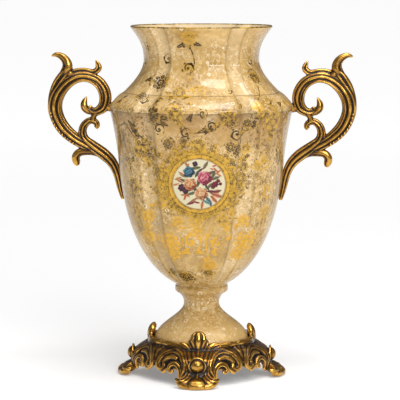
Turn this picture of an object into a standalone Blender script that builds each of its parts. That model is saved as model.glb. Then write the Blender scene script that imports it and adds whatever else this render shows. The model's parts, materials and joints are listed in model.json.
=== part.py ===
"""A two-handled urn vase of rounded square plan with four corner flutes, on a four-footed scrolled stand.

Metres, +Z up. The origin is on the ground under the middle of the stand, and the front panel faces -Y.
The vase body, its two cast handles and the cast stand are four separate solids.
"""

import math

import bmesh
import bpy
from mathutils import Matrix, Vector
from mathutils.geometry import interpolate_bezier

MM = 0.001

# Heights of the vase body, stacked upwards from the stand
SOCLE_EDGE_RISE = 5.5 * MM
STEM_RISE = 44.5 * MM
COLLAR_RISE = 19.0 * MM
BOWL_FOOT_RISE = 6.0 * MM
BOWL_RISE = 227.0 * MM
SHOULDER_RISE = 62.0 * MM
NECK_RISE = 42.0 * MM

# Half widths of the vase body, measured across the handles
SEAT_HALF_WIDTH = 55.0 * MM
SOCLE_HALF_WIDTH = 61.0 * MM
STEM_HALF_WIDTH = 22.8 * MM
COLLAR_HALF_WIDTH = 33.8 * MM
COLLAR_HALF_HEIGHT = 4.5 * MM
BOWL_FOOT_HALF_WIDTH = 33.0 * MM
FLANK_HALF_WIDTH = 105.8 * MM
SHOULDER_HALF_WIDTH = 116.8 * MM
NECK_HALF_WIDTH = 73.5 * MM
RIM_HALF_WIDTH = 90.4 * MM
WALL = 5.0 * MM

# Plan of the body: how square it is, and its four corner flutes
BODY_SQUARENESS = 2.4
FLUTE_ANGLE = 33.5
FLUTE_HALF_ANGLE = 7.0
FLUTE_DEPTH_SHARE = 0.045

# Facets of the solids
FRONT_PANEL_STEPS = 2
SIDE_PANEL_STEPS = 4
FLUTE_STEPS = 4
BODY_STEPS = 4 * (FRONT_PANEL_STEPS + SIDE_PANEL_STEPS + FLUTE_STEPS)
STAND_STEPS = 32
ROD_SIDES = 6

# Stand
SEAT_GAP = 0.3 * MM
PLATE_HEIGHT = 43.7 * MM
PLATE_THICKNESS = 6.0 * MM
SOCLE_CLEARANCE = 1.0 * MM
BAND_WIDTH = 4.5 * MM
BAND_RISE = 8.0 * MM
SKIRT_SPREAD = 13.0 * MM
SKIRT_EDGE_HEIGHT = 20.0 * MM
SKIRT_WALL = 6.0 * MM
LEG_BULGE = 9.0 * MM
SCROLL_HALF_WIDTH = 4.8 * MM
SMALL_SCROLL_HALF_WIDTH = 3.2 * MM
CREST_HEIGHT = 68.0 * MM
CREST_RELIEF_SHARE = 0.55
CREST_HALF_WIDTH = 8.5 * MM
ORNAMENT_SIZE = 1.0 * MM
BOSS_RADIUS = 8.2 * MM
BOSS_HEIGHT = 27.0 * MM
FOOT_REACH = 109.5 * MM
FOOT_HALF_WIDTH = 27.0 * MM
FOOT_WAIST_HALF_WIDTH = 15.5 * MM
TOE_HEIGHT = 20.5 * MM
TOE_CURL_RADIUS = 4.4 * MM
SOLE_LENGTH = 17.0 * MM
LEG_ANGLES = (0.0, 90.0, 180.0, 270.0)

# Handles
HANDLE_DEPTH_SHARE = 1.05
HANDLE_GAP = 0.3 * MM
HANDLE_SIZE = 1.0 * MM
HANDLE_STOUTNESS = 1.06

# Heights worked out from the stack
SEAT_Z = PLATE_HEIGHT + SEAT_GAP
SOCLE_Z = SEAT_Z + SOCLE_EDGE_RISE
STEM_Z = SOCLE_Z + STEM_RISE
COLLAR_Z = STEM_Z + COLLAR_RISE
BOWL_FOOT_Z = COLLAR_Z + BOWL_FOOT_RISE
SHOULDER_Z = BOWL_FOOT_Z + BOWL_RISE
FLANK_Z = BOWL_FOOT_Z + 0.714 * BOWL_RISE
NECK_Z = SHOULDER_Z + SHOULDER_RISE
RIM_Z = NECK_Z + NECK_RISE
SKIRT_TOP_RADIUS = SOCLE_HALF_WIDTH + SOCLE_CLEARANCE + BAND_WIDTH

# Strokes of a handle: outwards from the shoulder edge, upwards from it, and half the stroke's width
MAIN_SCROLL = (
    (27, -5, 3.6), (19, -7, 4.6), (10.2, -1, 5.2), (7.2, 11, 5.4), (10, 23.5, 5.3), (18, 33.5, 5.4),
    (32.4, 38.7, 5.5), (47, 36.5, 6.2), (60.2, 27, 7.4), (69.5, 13.2, 8.3), (72.3, -0.8, 8.5),
    (69.5, -14.7, 7.8), (62.5, -27.6, 7.5), (53, -37.2, 7.2), (42.5, -44.7, 6.6), (30, -51.5, 6.0), (18, -58, 4.5),
)
TOP_LEAF = ((51, 43.5, 3.0), (36.5, 46, 3.2), (22, 44.2, 3.6), (15.3, 49, 3.9), (16.4, 55, 2.9), (19, 60, 0.9))
HORN = (
    (74.4, 18, 3.6), (68.5, 31, 5.2), (60.5, 41, 6.2), (55, 49, 6.4), (57, 57.5, 5.6), (62.5, 64, 4.4),
    (69.3, 67, 3.0), (76, 65, 1.0),
)
BUD = ((25, -6.5, 3.0), (33, -2.3, 4.5), (34, 4.2, 4.2), (32.5, 9.3, 2.5), (31, 13.2, 0.8))
LOWER_SCROLL = (
    (17.8, -25, 3.2), (19.4, -20, 3.8), (26.5, -17.9, 4.2), (34.2, -23.7, 4.8), (36.7, -32.9, 5.4),
    (33.2, -42.5, 5.8), (24, -51.5, 6.1), (11.5, -60.8, 6.0),
)
LOWER_LEAF = ((18, -59.5, 4.0), (32, -58.6, 4.5), (41.5, -59.7, 4.7), (45.8, -66, 4.5), (44.2, -73.6, 2.8))
SHOULDER_LUG = ((8, 2.5, 4.6), (1, 0, 5.4), (-5, -1.5, 5.0))
LINK = ((21, -7, 3.4), (22.5, -13, 3.4), (23, -19, 3.4))
# The tail that lies on the body: down from the shoulder edge, out from the body's side, and half its width
TAIL = ((-70, 12, 5.6), (-80, 6.6, 5.0), (-92, 3.4, 4.6), (-106, 2.2, 3.8), (-120, 1.0, 2.4))

# Strokes on the stand: across from a leg's middle and up from the ground, as shares of the skirt
BIG_SCROLL = (
    (17, 12), (13.5, 22), (15, 33), (24, 42), (37, 44), (50, 37), (57, 26), (52, 17.5), (45, 20),
)
SMALL_SCROLL = ((19, 15), (21, 23), (29, 27.5), (37, 23), (34.5, 16.5))


def clear_scene():
    """Removes what a new file starts with."""
    for thing in list(bpy.data.objects):
        bpy.data.objects.remove(thing)


def material(name, colour, roughness, metallic):
    """A plain finish for one kind of piece."""
    finish = bpy.data.materials.new(name)
    finish.use_nodes = True
    shader = finish.node_tree.nodes["Principled BSDF"]
    shader.inputs["Base Color"].default_value = (*colour, 1.0)
    shader.inputs["Roughness"].default_value = roughness
    shader.inputs["Metallic"].default_value = metallic
    return finish


def mesh_object(name, mesh, collection):
    """An object for a mesh, linked to its collection."""
    thing = bpy.data.objects.new(name, mesh)
    collection.objects.link(thing)
    return thing


def baked_mesh(thing):
    """The evaluated mesh of an object, with its loose caps welded."""
    bpy.context.view_layer.update()
    graph = bpy.context.evaluated_depsgraph_get()
    mesh = bpy.data.meshes.new_from_object(thing.evaluated_get(graph))
    bm = bmesh.new()
    bm.from_mesh(mesh)
    bmesh.ops.remove_doubles(bm, verts=bm.verts, dist=1e-6)
    bm.to_mesh(mesh)
    bm.free()
    return mesh


def bezier(start, first, second, end, spans):
    """Points of a Bezier stretch of a profile, without its last one."""
    ends = [Vector((p[0], p[1], 0.0)) for p in (start, first, second, end)]
    return [(p.x, p.y) for p in interpolate_bezier(*ends, spans + 1)[:-1]]


def between(low, high, share):
    """The value at a share of the way from low to high."""
    return low + (high - low) * share


def smooth_step(share):
    """An ease from 0 to 1 with level ends."""
    t = min(1.0, max(0.0, share))
    return t * t * (3.0 - 2.0 * t)


def bowl_profile():
    """The outer side of the vessel from the rim down to the bowl's foot, as (half width, height)."""
    flare = RIM_HALF_WIDTH - NECK_HALF_WIDTH
    cone = SHOULDER_HALF_WIDTH - NECK_HALF_WIDTH
    edge = SHOULDER_HALF_WIDTH - FLANK_HALF_WIDTH
    belly = FLANK_HALF_WIDTH - BOWL_FOOT_HALF_WIDTH
    drop = FLANK_Z - BOWL_FOOT_Z
    points = bezier(
        (RIM_HALF_WIDTH, RIM_Z),
        (NECK_HALF_WIDTH + 0.35 * flare, NECK_Z + 0.62 * NECK_RISE),
        (NECK_HALF_WIDTH, NECK_Z + 0.4 * NECK_RISE),
        (NECK_HALF_WIDTH, NECK_Z),
        3,
    )
    points += bezier(
        (NECK_HALF_WIDTH, NECK_Z),
        (NECK_HALF_WIDTH, NECK_Z - 0.37 * SHOULDER_RISE),
        (NECK_HALF_WIDTH + 0.62 * cone, SHOULDER_Z + 0.34 * SHOULDER_RISE),
        (SHOULDER_HALF_WIDTH, SHOULDER_Z + 0.02 * SHOULDER_RISE),
        5,
    )
    points += [(SHOULDER_HALF_WIDTH, SHOULDER_Z + 0.02 * SHOULDER_RISE)]
    points += bezier(
        (SHOULDER_HALF_WIDTH, SHOULDER_Z - 0.015 * BOWL_RISE),
        (FLANK_HALF_WIDTH + 0.62 * edge, SHOULDER_Z - 0.08 * BOWL_RISE),
        (FLANK_HALF_WIDTH + 0.15 * edge, FLANK_Z + 0.08 * BOWL_RISE),
        (FLANK_HALF_WIDTH, FLANK_Z),
        3,
    )
    points += bezier(
        (FLANK_HALF_WIDTH, FLANK_Z),
        (FLANK_HALF_WIDTH - 0.057 * belly, FLANK_Z - 0.346 * drop),
        (FLANK_HALF_WIDTH - 0.26 * belly, FLANK_Z - 0.81 * drop),
        (BOWL_FOOT_HALF_WIDTH, BOWL_FOOT_Z),
        7,
    )
    return points + [(BOWL_FOOT_HALF_WIDTH, BOWL_FOOT_Z)]


def foot_profile():
    """The collar, the stem and the spreading socle, down to the flat seat on the stand."""
    spread = SOCLE_HALF_WIDTH - STEM_HALF_WIDTH
    points = [
        (COLLAR_HALF_WIDTH, COLLAR_Z + 0.5 * COLLAR_HALF_HEIGHT),
        (COLLAR_HALF_WIDTH, COLLAR_Z - 0.5 * COLLAR_HALF_HEIGHT),
        (between(STEM_HALF_WIDTH, COLLAR_HALF_WIDTH, 0.35), COLLAR_Z - 2.0 * COLLAR_HALF_HEIGHT),
    ]
    points += bezier(
        (STEM_HALF_WIDTH, STEM_Z),
        (STEM_HALF_WIDTH, STEM_Z - 0.36 * STEM_RISE),
        (STEM_HALF_WIDTH + 0.82 * spread, STEM_Z - 0.54 * STEM_RISE),
        (SOCLE_HALF_WIDTH, SOCLE_Z),
        4,
    )
    return points + [(SOCLE_HALF_WIDTH, SOCLE_Z), (SEAT_HALF_WIDTH, SEAT_Z), (0.0, SEAT_Z)]


def half_width_at(height):
    """The half width of the vessel's outer side at a height between the bowl's foot and the rim."""
    points = bowl_profile()
    for (upper_width, upper), (lower_width, lower) in zip(points, points[1:]):
        if lower <= height <= upper:
            return between(lower_width, upper_width, (height - lower) / max(upper - lower, 1e-9))
    return points[-1][0] if height < points[-1][1] else points[0][0]


def inner_profile():
    """The inside of the vessel: the outer side moved in by the wall, from above the rim to the floor."""
    outer = bowl_profile()
    inside = [(outer[0][0] - WALL + 0.35 * WALL, RIM_Z + WALL)]
    for before, here, after in zip([outer[0], *outer], outer, [*outer[1:], outer[-1]]):
        along = Vector((after[0] - before[0], after[1] - before[1])).normalized()
        inward = Vector((along.y, -along.x))
        moved = (here[0] + inward.x * WALL, here[1] + inward.y * WALL)
        if moved[0] > WALL and moved[1] > BOWL_FOOT_Z + WALL and moved[1] < inside[-1][1] - 0.5 * MM:
            inside.append(moved)
    return inside + [(0.0, BOWL_FOOT_Z + WALL)]


def turned(name, profile, steps, collection):
    """A solid turned about the Z axis from a profile that runs down its outer side."""
    line = bpy.data.meshes.new(name)
    points = [(width, 0.0, height) for width, height in profile]
    line.from_pydata(points, [(n, n + 1) for n in range(len(points) - 1)], [])
    lathe = mesh_object(name + "_profile", line, collection)
    screw = lathe.modifiers.new("Turn", "SCREW")
    screw.steps = screw.render_steps = steps
    screw.use_merge_vertices = True
    screw.merge_threshold = 1e-5
    mesh = baked_mesh(lathe)
    bpy.data.objects.remove(lathe)
    return mesh_object(name, mesh, collection)


def plan_angle(even):
    """Moves evenly spaced angles so that they gather in the corner flutes."""
    quarter, rest = divmod(even, 90.0)
    towards_side = int(quarter) % 2 == 0
    first, last = (FRONT_PANEL_STEPS, SIDE_PANEL_STEPS) if towards_side else (SIDE_PANEL_STEPS, FRONT_PANEL_STEPS)
    step = rest / 90.0 * (first + FLUTE_STEPS + last)
    middle = FLUTE_ANGLE if towards_side else 90.0 - FLUTE_ANGLE
    start, end = middle - FLUTE_HALF_ANGLE, middle + FLUTE_HALF_ANGLE
    if step < first:
        placed = between(0.0, start, step / first)
    elif step < first + FLUTE_STEPS:
        placed = between(start, end, (step - first) / FLUTE_STEPS)
    else:
        placed = between(end, 90.0, (step - first - FLUTE_STEPS) / last)
    return quarter * 90.0 + placed


def plan_radius(half_width, angle, height):
    """How far the outer side stands from the axis at an angle from the front, for a half width at the side."""
    power = between(2.0, BODY_SQUARENESS, smooth_step((height - COLLAR_Z) / (3.0 * BOWL_FOOT_RISE)))
    across, ahead = abs(math.sin(math.radians(angle))), abs(math.cos(math.radians(angle)))
    radius = half_width / (across**power + ahead**power) ** (1.0 / power)
    off_corner = abs(math.degrees(math.atan2(across, ahead)) - FLUTE_ANGLE) / FLUTE_HALF_ANGLE
    hollow = max(0.0, 1.0 - off_corner**2)
    fade = smooth_step((height - BOWL_FOOT_Z) / (2.0 * BOWL_FOOT_RISE))
    return radius * (1.0 - FLUTE_DEPTH_SHARE * hollow * fade)


def shape_plan(thing, inset):
    """Gives a turned solid the body's squarish, fluted plan. An inset of the wall shapes the inside."""
    for vertex in thing.data.vertices:
        reach = math.hypot(vertex.co.x, vertex.co.y)
        if reach < 1e-6:
            continue
        angle = plan_angle(math.degrees(math.atan2(vertex.co.x, -vertex.co.y)) % 360.0)
        radius = plan_radius(reach + inset, angle, vertex.co.z) - inset
        vertex.co.x = radius * math.sin(math.radians(angle))
        vertex.co.y = -radius * math.cos(math.radians(angle))
    thing.data.update()


def combine(thing, other, operation):
    """Adds another closed mesh to this one or cuts it away, and removes the other."""
    boolean = thing.modifiers.new(operation.title(), "BOOLEAN")
    boolean.operation = operation
    boolean.solver = "EXACT"
    boolean.object = other
    mesh = baked_mesh(thing)
    thing.modifiers.clear()
    thing.data = mesh
    bpy.data.objects.remove(other)


def smooth_line(points, spans):
    """Points of a smooth line through a few chosen ones, each of any number of values."""
    line = []
    last = len(points) - 1
    for n in range(last):
        before, start = points[max(n - 1, 0)], points[n]
        end, after = points[n + 1], points[min(n + 2, last)]
        for step in range(spans):
            t = step / spans
            line.append([
                0.5 * (2 * b + (c - a) * t + (2 * a - 5 * b + 4 * c - d) * t**2 + (3 * b - a - 3 * c + d) * t**3)
                for a, b, c, d in zip(before, start, end, after)
            ])
    return line + [list(points[last])]


def rod(name, points, spans, collection, sides=ROD_SIDES):
    """A round tapering rod through points of x, y, z and half width."""
    curve = bpy.data.curves.new(name, "CURVE")
    curve.dimensions = "3D"
    curve.bevel_depth = 1.0
    curve.bevel_resolution = sides // 2 - 2
    curve.use_fill_caps = True
    line = smooth_line(points, spans)
    spline = curve.splines.new("POLY")
    spline.points.add(len(line) - 1)
    for point, (x, y, z, half_width) in zip(spline.points, line):
        point.co = (x, y, z, 1.0)
        point.radius = half_width
    guide = mesh_object(name + "_line", curve, collection)
    mesh = baked_mesh(guide)
    bpy.data.objects.remove(guide)
    return mesh_object(name, mesh, collection)


def vase_body(collection, cutters, finish):
    """The hollow vessel with its stem and socle, moulded as one piece."""
    body = turned("vase_body", bowl_profile() + foot_profile(), BODY_STEPS, collection)
    close_top(body)
    shape_plan(body, 0.0)
    hollow = turned("hollow", [(0.0, RIM_Z + WALL)] + inner_profile(), BODY_STEPS, cutters)
    shape_plan(hollow, WALL)
    combine(body, hollow, "DIFFERENCE")
    body.data.materials.clear()
    body.data.materials.append(finish)
    body.data.shade_smooth()
    body.data.set_sharp_from_angle(angle=math.radians(35))
    return body


def close_top(thing):
    """Fills the open ring at the top of a turned solid."""
    bm = bmesh.new()
    bm.from_mesh(thing.data)
    rim = [edge for edge in bm.edges if edge.is_boundary]
    bmesh.ops.holes_fill(bm, edges=rim, sides=0)
    bmesh.ops.recalc_face_normals(bm, faces=bm.faces)
    bm.to_mesh(thing.data)
    bm.free()


def handle_point(out, up, half_width):
    """A stroke's point in the plane of the handles, on the +X side."""
    return (
        SHOULDER_HALF_WIDTH + out * HANDLE_SIZE,
        0.0,
        SHOULDER_Z + up * HANDLE_SIZE,
        half_width * HANDLE_SIZE * HANDLE_STOUTNESS,
    )


def tail_point(up, off, half_width):
    """A point of the tail, which follows the body's side."""
    height = SHOULDER_Z + up * HANDLE_SIZE
    out = half_width_at(height) + off * HANDLE_SIZE
    return (out, 0.0, height, half_width * HANDLE_SIZE * HANDLE_STOUTNESS)


def enlarged_body(cutters):
    """The outer form of the vessel, larger by the handle's gap, to cut the handles clear of it."""
    profile = [(0.0, RIM_Z)] + bowl_profile() + [(0.0, BOWL_FOOT_Z)]
    form = turned("body_form", profile, BODY_STEPS, cutters)
    shape_plan(form, HANDLE_GAP)
    for vertex in form.data.vertices:
        reach = math.hypot(vertex.co.x, vertex.co.y)
        if reach > 1e-6:
            grown = (reach + 2.0 * HANDLE_GAP) / reach
            vertex.co.x *= grown
            vertex.co.y *= grown
    return form


def handle_right(collection, cutters, finish):
    """The scrolled handle on the +X side, cast in one piece."""
    lower = [handle_point(*p) for p in LOWER_SCROLL] + [tail_point(*p) for p in TAIL]
    handle = rod("handle_right", [handle_point(*p) for p in MAIN_SCROLL], 1, collection, 8)
    combine(handle, rod("lower_scroll", lower, 1, cutters, 8), "UNION")
    for name, stroke in (
        ("top_leaf", TOP_LEAF), ("horn", HORN), ("bud", BUD), ("lower_leaf", LOWER_LEAF),
        ("lug", SHOULDER_LUG), ("link", LINK),
    ):
        combine(handle, rod(name, [handle_point(*p) for p in stroke], 1, cutters), "UNION")
    handle.data.transform(Matrix.Diagonal((1.0, HANDLE_DEPTH_SHARE, 1.0, 1.0)))
    combine(handle, enlarged_body(cutters), "DIFFERENCE")
    handle.data.materials.clear()
    handle.data.materials.append(finish)
    handle.data.shade_smooth()
    handle.data.set_sharp_from_angle(angle=math.radians(50))
    return handle


def mirrored(name, thing, collection):
    """The same piece on the other side of the YZ plane."""
    mesh = thing.data.copy()
    mesh.transform(Matrix.Diagonal((-1.0, 1.0, 1.0, 1.0)))
    mesh.flip_normals()
    return mesh_object(name, mesh, collection)


def skirt_line():
    """The outer side of the stand's bell-shaped skirt, from its top down to its edge."""
    top = PLATE_HEIGHT
    drop = top - SKIRT_EDGE_HEIGHT
    return [
        (SKIRT_TOP_RADIUS + 0.05 * SKIRT_SPREAD, top),
        (SKIRT_TOP_RADIUS + 0.38 * SKIRT_SPREAD, top - 0.14 * drop),
        (SKIRT_TOP_RADIUS + 0.70 * SKIRT_SPREAD, top - 0.40 * drop),
        (SKIRT_TOP_RADIUS + 0.90 * SKIRT_SPREAD, top - 0.70 * drop),
        (SKIRT_TOP_RADIUS + SKIRT_SPREAD, SKIRT_EDGE_HEIGHT),
    ]


def leg_bulge(height, angle):
    """How much further out the skirt stands at an angle from the front, towards the four legs."""
    turn = 0.5 + 0.5 * math.cos(math.radians(4.0 * angle))
    share = (PLATE_HEIGHT - height) / (PLATE_HEIGHT - SKIRT_EDGE_HEIGHT)
    return LEG_BULGE * turn**1.5 * smooth_step(2.0 * share)


def skirt_radius(height, angle):
    """How far the skirt's outer side stands from the axis at a height and an angle from the front."""
    points = skirt_line()
    for (upper_radius, upper), (lower_radius, lower) in zip(points, points[1:]):
        if height >= lower:
            share = min(1.0, (height - lower) / (upper - lower))
            return between(lower_radius, upper_radius, share) + leg_bulge(height, angle)
    return points[-1][0] + leg_bulge(points[-1][1], angle)


def around(angle, radius, height, half_width):
    """A rod's point at an angle from the front, at a distance from the axis."""
    turn = math.radians(angle)
    return (radius * math.sin(turn), -radius * math.cos(turn), height, half_width)


def on_skirt(leg, across, up, half_width):
    """A point on the skirt, across from the middle of a leg and up from the ground."""
    height = up * ORNAMENT_SIZE
    angle = leg + math.degrees(across * ORNAMENT_SIZE / (SKIRT_TOP_RADIUS + SKIRT_SPREAD))
    return around(angle, skirt_radius(height, angle), height, half_width)


def stand_core(collection):
    """The turned plate, seat band and skirt of the stand."""
    band_in = SOCLE_HALF_WIDTH + SOCLE_CLEARANCE
    band_top = PLATE_HEIGHT + BAND_RISE
    outer = skirt_line()
    inner = [(radius - SKIRT_WALL, height) for radius, height in outer[:0:-1]]
    under = PLATE_HEIGHT - PLATE_THICKNESS
    profile = [(0.0, PLATE_HEIGHT), (band_in, PLATE_HEIGHT), (band_in, band_top)]
    profile += [(SKIRT_TOP_RADIUS, band_top)] + outer
    profile += [(radius, height) for radius, height in inner if height < under]
    profile += [(SKIRT_TOP_RADIUS + 0.38 * SKIRT_SPREAD - SKIRT_WALL, under), (0.0, under)]
    core = turned("stand", profile, STAND_STEPS, collection)
    for vertex in core.data.vertices:
        reach = math.hypot(vertex.co.x, vertex.co.y)
        if vertex.co.z > under - 0.1 * MM or reach < 1e-6:
            continue
        angle = math.degrees(math.atan2(vertex.co.x, -vertex.co.y))
        grown = 1.0 + leg_bulge(vertex.co.z, angle) / reach
        vertex.co.x *= grown
        vertex.co.y *= grown
    return core


def flat_solid(name, outline, half_thickness, cutters):
    """A closed flat outline given a thickness, lying in its own XY plane."""
    curve = bpy.data.curves.new(name, "CURVE")
    curve.dimensions = "2D"
    curve.fill_mode = "BOTH"
    curve.extrude = half_thickness
    spline = curve.splines.new("POLY")
    spline.points.add(len(outline) - 1)
    for point, (x, y) in zip(spline.points, outline):
        point.co = (x, y, 0.0, 1.0)
    spline.use_cyclic_u = True
    guide = mesh_object(name + "_outline", curve, cutters)
    mesh = baked_mesh(guide)
    bpy.data.objects.remove(guide)
    return mesh_object(name, mesh, cutters)


def foot(leg, cutters):
    """A foot: its side profile crossed with its bell-shaped front outline and its rounded plan."""
    knee = skirt_radius(BOSS_HEIGHT, 0.0)
    heel = FOOT_REACH - SOLE_LENGTH - 0.4 * TOE_HEIGHT
    ankle = FOOT_REACH - 0.66 * TOE_HEIGHT
    side = [
        (heel, 0.0), (heel + SOLE_LENGTH, 0.0), (FOOT_REACH - 0.15 * TOE_HEIGHT, 0.12 * TOE_HEIGHT),
        (FOOT_REACH, 0.35 * TOE_HEIGHT), (FOOT_REACH, 0.6 * TOE_HEIGHT),
        (FOOT_REACH - 0.15 * TOE_HEIGHT, 0.86 * TOE_HEIGHT), (FOOT_REACH - 0.35 * TOE_HEIGHT, TOE_HEIGHT),
        (FOOT_REACH - 0.55 * TOE_HEIGHT, 0.93 * TOE_HEIGHT), (ankle, 0.78 * TOE_HEIGHT),
        (knee - 1.0 * MM, BOSS_HEIGHT), (knee - 1.4 * SKIRT_WALL, 1.15 * BOSS_HEIGHT),
        (knee - 1.4 * SKIRT_WALL, BOSS_HEIGHT),
        (heel - 3 * MM, 0.6 * TOE_HEIGHT),
    ]
    half = [
        (0.62 * FOOT_HALF_WIDTH, 0.0), (0.88 * FOOT_HALF_WIDTH, 0.1 * TOE_HEIGHT),
        (FOOT_HALF_WIDTH, 0.36 * TOE_HEIGHT), (0.97 * FOOT_HALF_WIDTH, 0.56 * TOE_HEIGHT),
        (0.84 * FOOT_HALF_WIDTH, 0.62 * TOE_HEIGHT), (1.16 * FOOT_WAIST_HALF_WIDTH, 0.56 * TOE_HEIGHT),
        (FOOT_WAIST_HALF_WIDTH, TOE_HEIGHT), (FOOT_WAIST_HALF_WIDTH, 1.2 * BOSS_HEIGHT),
    ]
    plan = [
        (FOOT_HALF_WIDTH, knee - 2.0 * SKIRT_WALL), (FOOT_HALF_WIDTH, FOOT_REACH - 0.72 * TOE_HEIGHT),
        (0.86 * FOOT_HALF_WIDTH, FOOT_REACH - 0.36 * TOE_HEIGHT),
        (0.6 * FOOT_HALF_WIDTH, FOOT_REACH - 0.12 * TOE_HEIGHT), (0.25 * FOOT_HALF_WIDTH, FOOT_REACH),
    ]
    block = flat_solid("foot", side, FOOT_HALF_WIDTH * 1.2, cutters)
    block.data.transform(Matrix(((0, 0, 1, 0), (-1, 0, 0, 0), (0, 1, 0, 0), (0, 0, 0, 1))))
    front = flat_solid("foot_front", half + [(-x, y) for x, y in reversed(half)], FOOT_REACH, cutters)
    front.data.transform(Matrix.Rotation(math.radians(90), 4, "X"))
    front.data.transform(Matrix.Translation((0.0, -FOOT_REACH, 0.0)))
    tongue = flat_solid("foot_plan", [(x, -y) for x, y in plan + [(-x, y) for x, y in reversed(plan)]], 0.1, cutters)
    for thing in (block, front, tongue):
        outward(thing)
    combine(block, front, "INTERSECT")
    combine(block, tongue, "INTERSECT")
    block.data.transform(Matrix.Rotation(math.radians(leg), 4, "Z"))
    return block


def toe_curls(leg, cutters):
    """The two rolled ends of a foot, one at each side."""
    for side in (-1, 1):
        across = side * (FOOT_HALF_WIDTH - 0.8 * TOE_CURL_RADIUS)
        line = []
        for reach, share in ((-1.2, 0.6), (-0.8, 1.0), (-0.35, 0.6)):
            out = FOOT_REACH + reach * TOE_HEIGHT
            angle = leg + math.degrees(math.atan2(across, out))
            line.append(around(angle, math.hypot(across, out), 0.48 * TOE_HEIGHT, share * TOE_CURL_RADIUS))
        yield rod("toe_curl", line, 1, cutters)


def outward(thing):
    """Turns all faces of a closed mesh outwards."""
    bm = bmesh.new()
    bm.from_mesh(thing.data)
    bmesh.ops.recalc_face_normals(bm, faces=bm.faces)
    bm.to_mesh(thing.data)
    bm.free()


def crest_radius(height):
    """How far the palmette's middle stands from the axis: on the skirt, then leaning over the seat band."""
    lean = smooth_step((height - PLATE_HEIGHT) / (CREST_HEIGHT - PLATE_HEIGHT))
    return between(max(skirt_radius(height, 0.0), SKIRT_TOP_RADIUS), SKIRT_TOP_RADIUS - BAND_WIDTH, lean)


def crest_point(across, height, width_share):
    """A point of the palmette before it is turned to its leg."""
    radius = crest_radius(height)
    angle = math.degrees(across * CREST_HALF_WIDTH / radius)
    return around(angle, radius, height, width_share * CREST_HALF_WIDTH)


def crest(leg, cutters):
    """The palmette above a leg: a round middle lobe between two lower ones."""
    root = BOSS_HEIGHT + 0.8 * BOSS_RADIUS
    rise = CREST_HEIGHT - root
    lobes = [[(0.0, 0.0, 0.62), (0.0, 0.36, 0.76), (0.0, 0.66, 1.0), (0.0, 0.88, 0.9), (0.0, 0.99, 0.35)]]
    for side in (-1, 1):
        lobes.append([(0.4 * side, 0.0, 0.42), (0.8 * side, 0.34, 0.48), (1.4 * side, 0.56, 0.52), (1.7 * side, 0.66, 0.2)])
    for lobe in lobes:
        middle = rod("crest_lobe", [crest_point(a, root + up * rise, w) for a, up, w in lobe], 1, cutters)
        for vertex in middle.data.vertices:
            seat = crest_radius(vertex.co.z)
            reach = math.hypot(vertex.co.x, vertex.co.y)
            flatter = (seat + (reach - seat) * CREST_RELIEF_SHARE) / reach
            vertex.co.x *= flatter
            vertex.co.y *= flatter
        middle.data.transform(Matrix.Rotation(math.radians(leg), 4, "Z"))
        yield middle


def boss(leg, cutters):
    """The round knob in the middle of a leg."""
    bm = bmesh.new()
    bmesh.ops.create_uvsphere(bm, u_segments=8, v_segments=5, radius=BOSS_RADIUS)
    mesh = bpy.data.meshes.new("boss")
    bm.to_mesh(mesh)
    bm.free()
    place = around(leg, skirt_radius(BOSS_HEIGHT, leg) + 0.15 * BOSS_RADIUS, BOSS_HEIGHT, 0.0)
    mesh.transform(Matrix.Translation(place[:3]))
    return mesh_object("boss", mesh, cutters)


def tapered(points, half_width):
    """Gives a stroke on the skirt its width, which swells in the middle and thins at its ends."""
    last = len(points) - 1
    for n, (across, up) in enumerate(points):
        yield across, up, half_width * (0.7 + 0.3 * math.sin(math.pi * n / last))


def scrolls(leg, cutters):
    """The big and the small scroll on both sides of a leg."""
    for side in (-1, 1):
        for stroke, half_width in ((BIG_SCROLL, SCROLL_HALF_WIDTH), (SMALL_SCROLL, SMALL_SCROLL_HALF_WIDTH)):
            line = [on_skirt(leg, side * across, up, width) for across, up, width in tapered(stroke, half_width)]
            yield rod("scroll", line, 1, cutters)


def socle_room(cutters):
    """The room that the body's socle takes above the plate, with its clearance all round."""
    socle = [(width + SOCLE_CLEARANCE, height) for width, height in foot_profile() if SOCLE_Z <= height < STEM_Z]
    room = [(0.0, STEM_Z), (STEM_HALF_WIDTH, STEM_Z)] + socle
    room += [(SOCLE_HALF_WIDTH + SOCLE_CLEARANCE, PLATE_HEIGHT), (0.0, PLATE_HEIGHT)]
    return turned("socle_room", room, STAND_STEPS, cutters)


def stand(collection, cutters, finish):
    """The cast stand: a skirt with four feet, palmettes, knobs and scrolls."""
    base = stand_core(collection)
    for leg in LEG_ANGLES:
        combine(base, foot(leg, cutters), "UNION")
        for ornament in [*toe_curls(leg, cutters), *crest(leg, cutters), boss(leg, cutters), *scrolls(leg, cutters)]:
            combine(base, ornament, "UNION")
    combine(base, socle_room(cutters), "DIFFERENCE")
    base.data.materials.clear()
    base.data.materials.append(finish)
    base.data.shade_smooth()
    base.data.set_sharp_from_angle(angle=math.radians(50))
    return base


def main():
    """Builds the vase."""
    clear_scene()
    vase = bpy.data.collections.new("Urn vase")
    cutters = bpy.data.collections.new("Cutters")
    for collection in (vase, cutters):
        bpy.context.scene.collection.children.link(collection)
    lacquer = material("cream_lacquer", (0.60, 0.43, 0.23), 0.25, 0.0)
    gilt = material("antique_gilt", (0.42, 0.24, 0.06), 0.35, 1.0)
    vase_body(vase, cutters, lacquer)
    right = handle_right(vase, cutters, gilt)
    mirrored("handle_left", right, vase)
    stand(vase, cutters, gilt)


main()
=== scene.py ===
"""The looks of the two-handled urn vase: its lacquered body, cast handles and stand, and a plain studio."""

import json
import logging
import math
from collections.abc import Callable, Iterable, Sequence
from dataclasses import dataclass
from enum import Enum
from typing import Any

import bpy
import numpy as np
from mathutils import Matrix, Vector
from mathutils.geometry import interpolate_bezier

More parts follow.
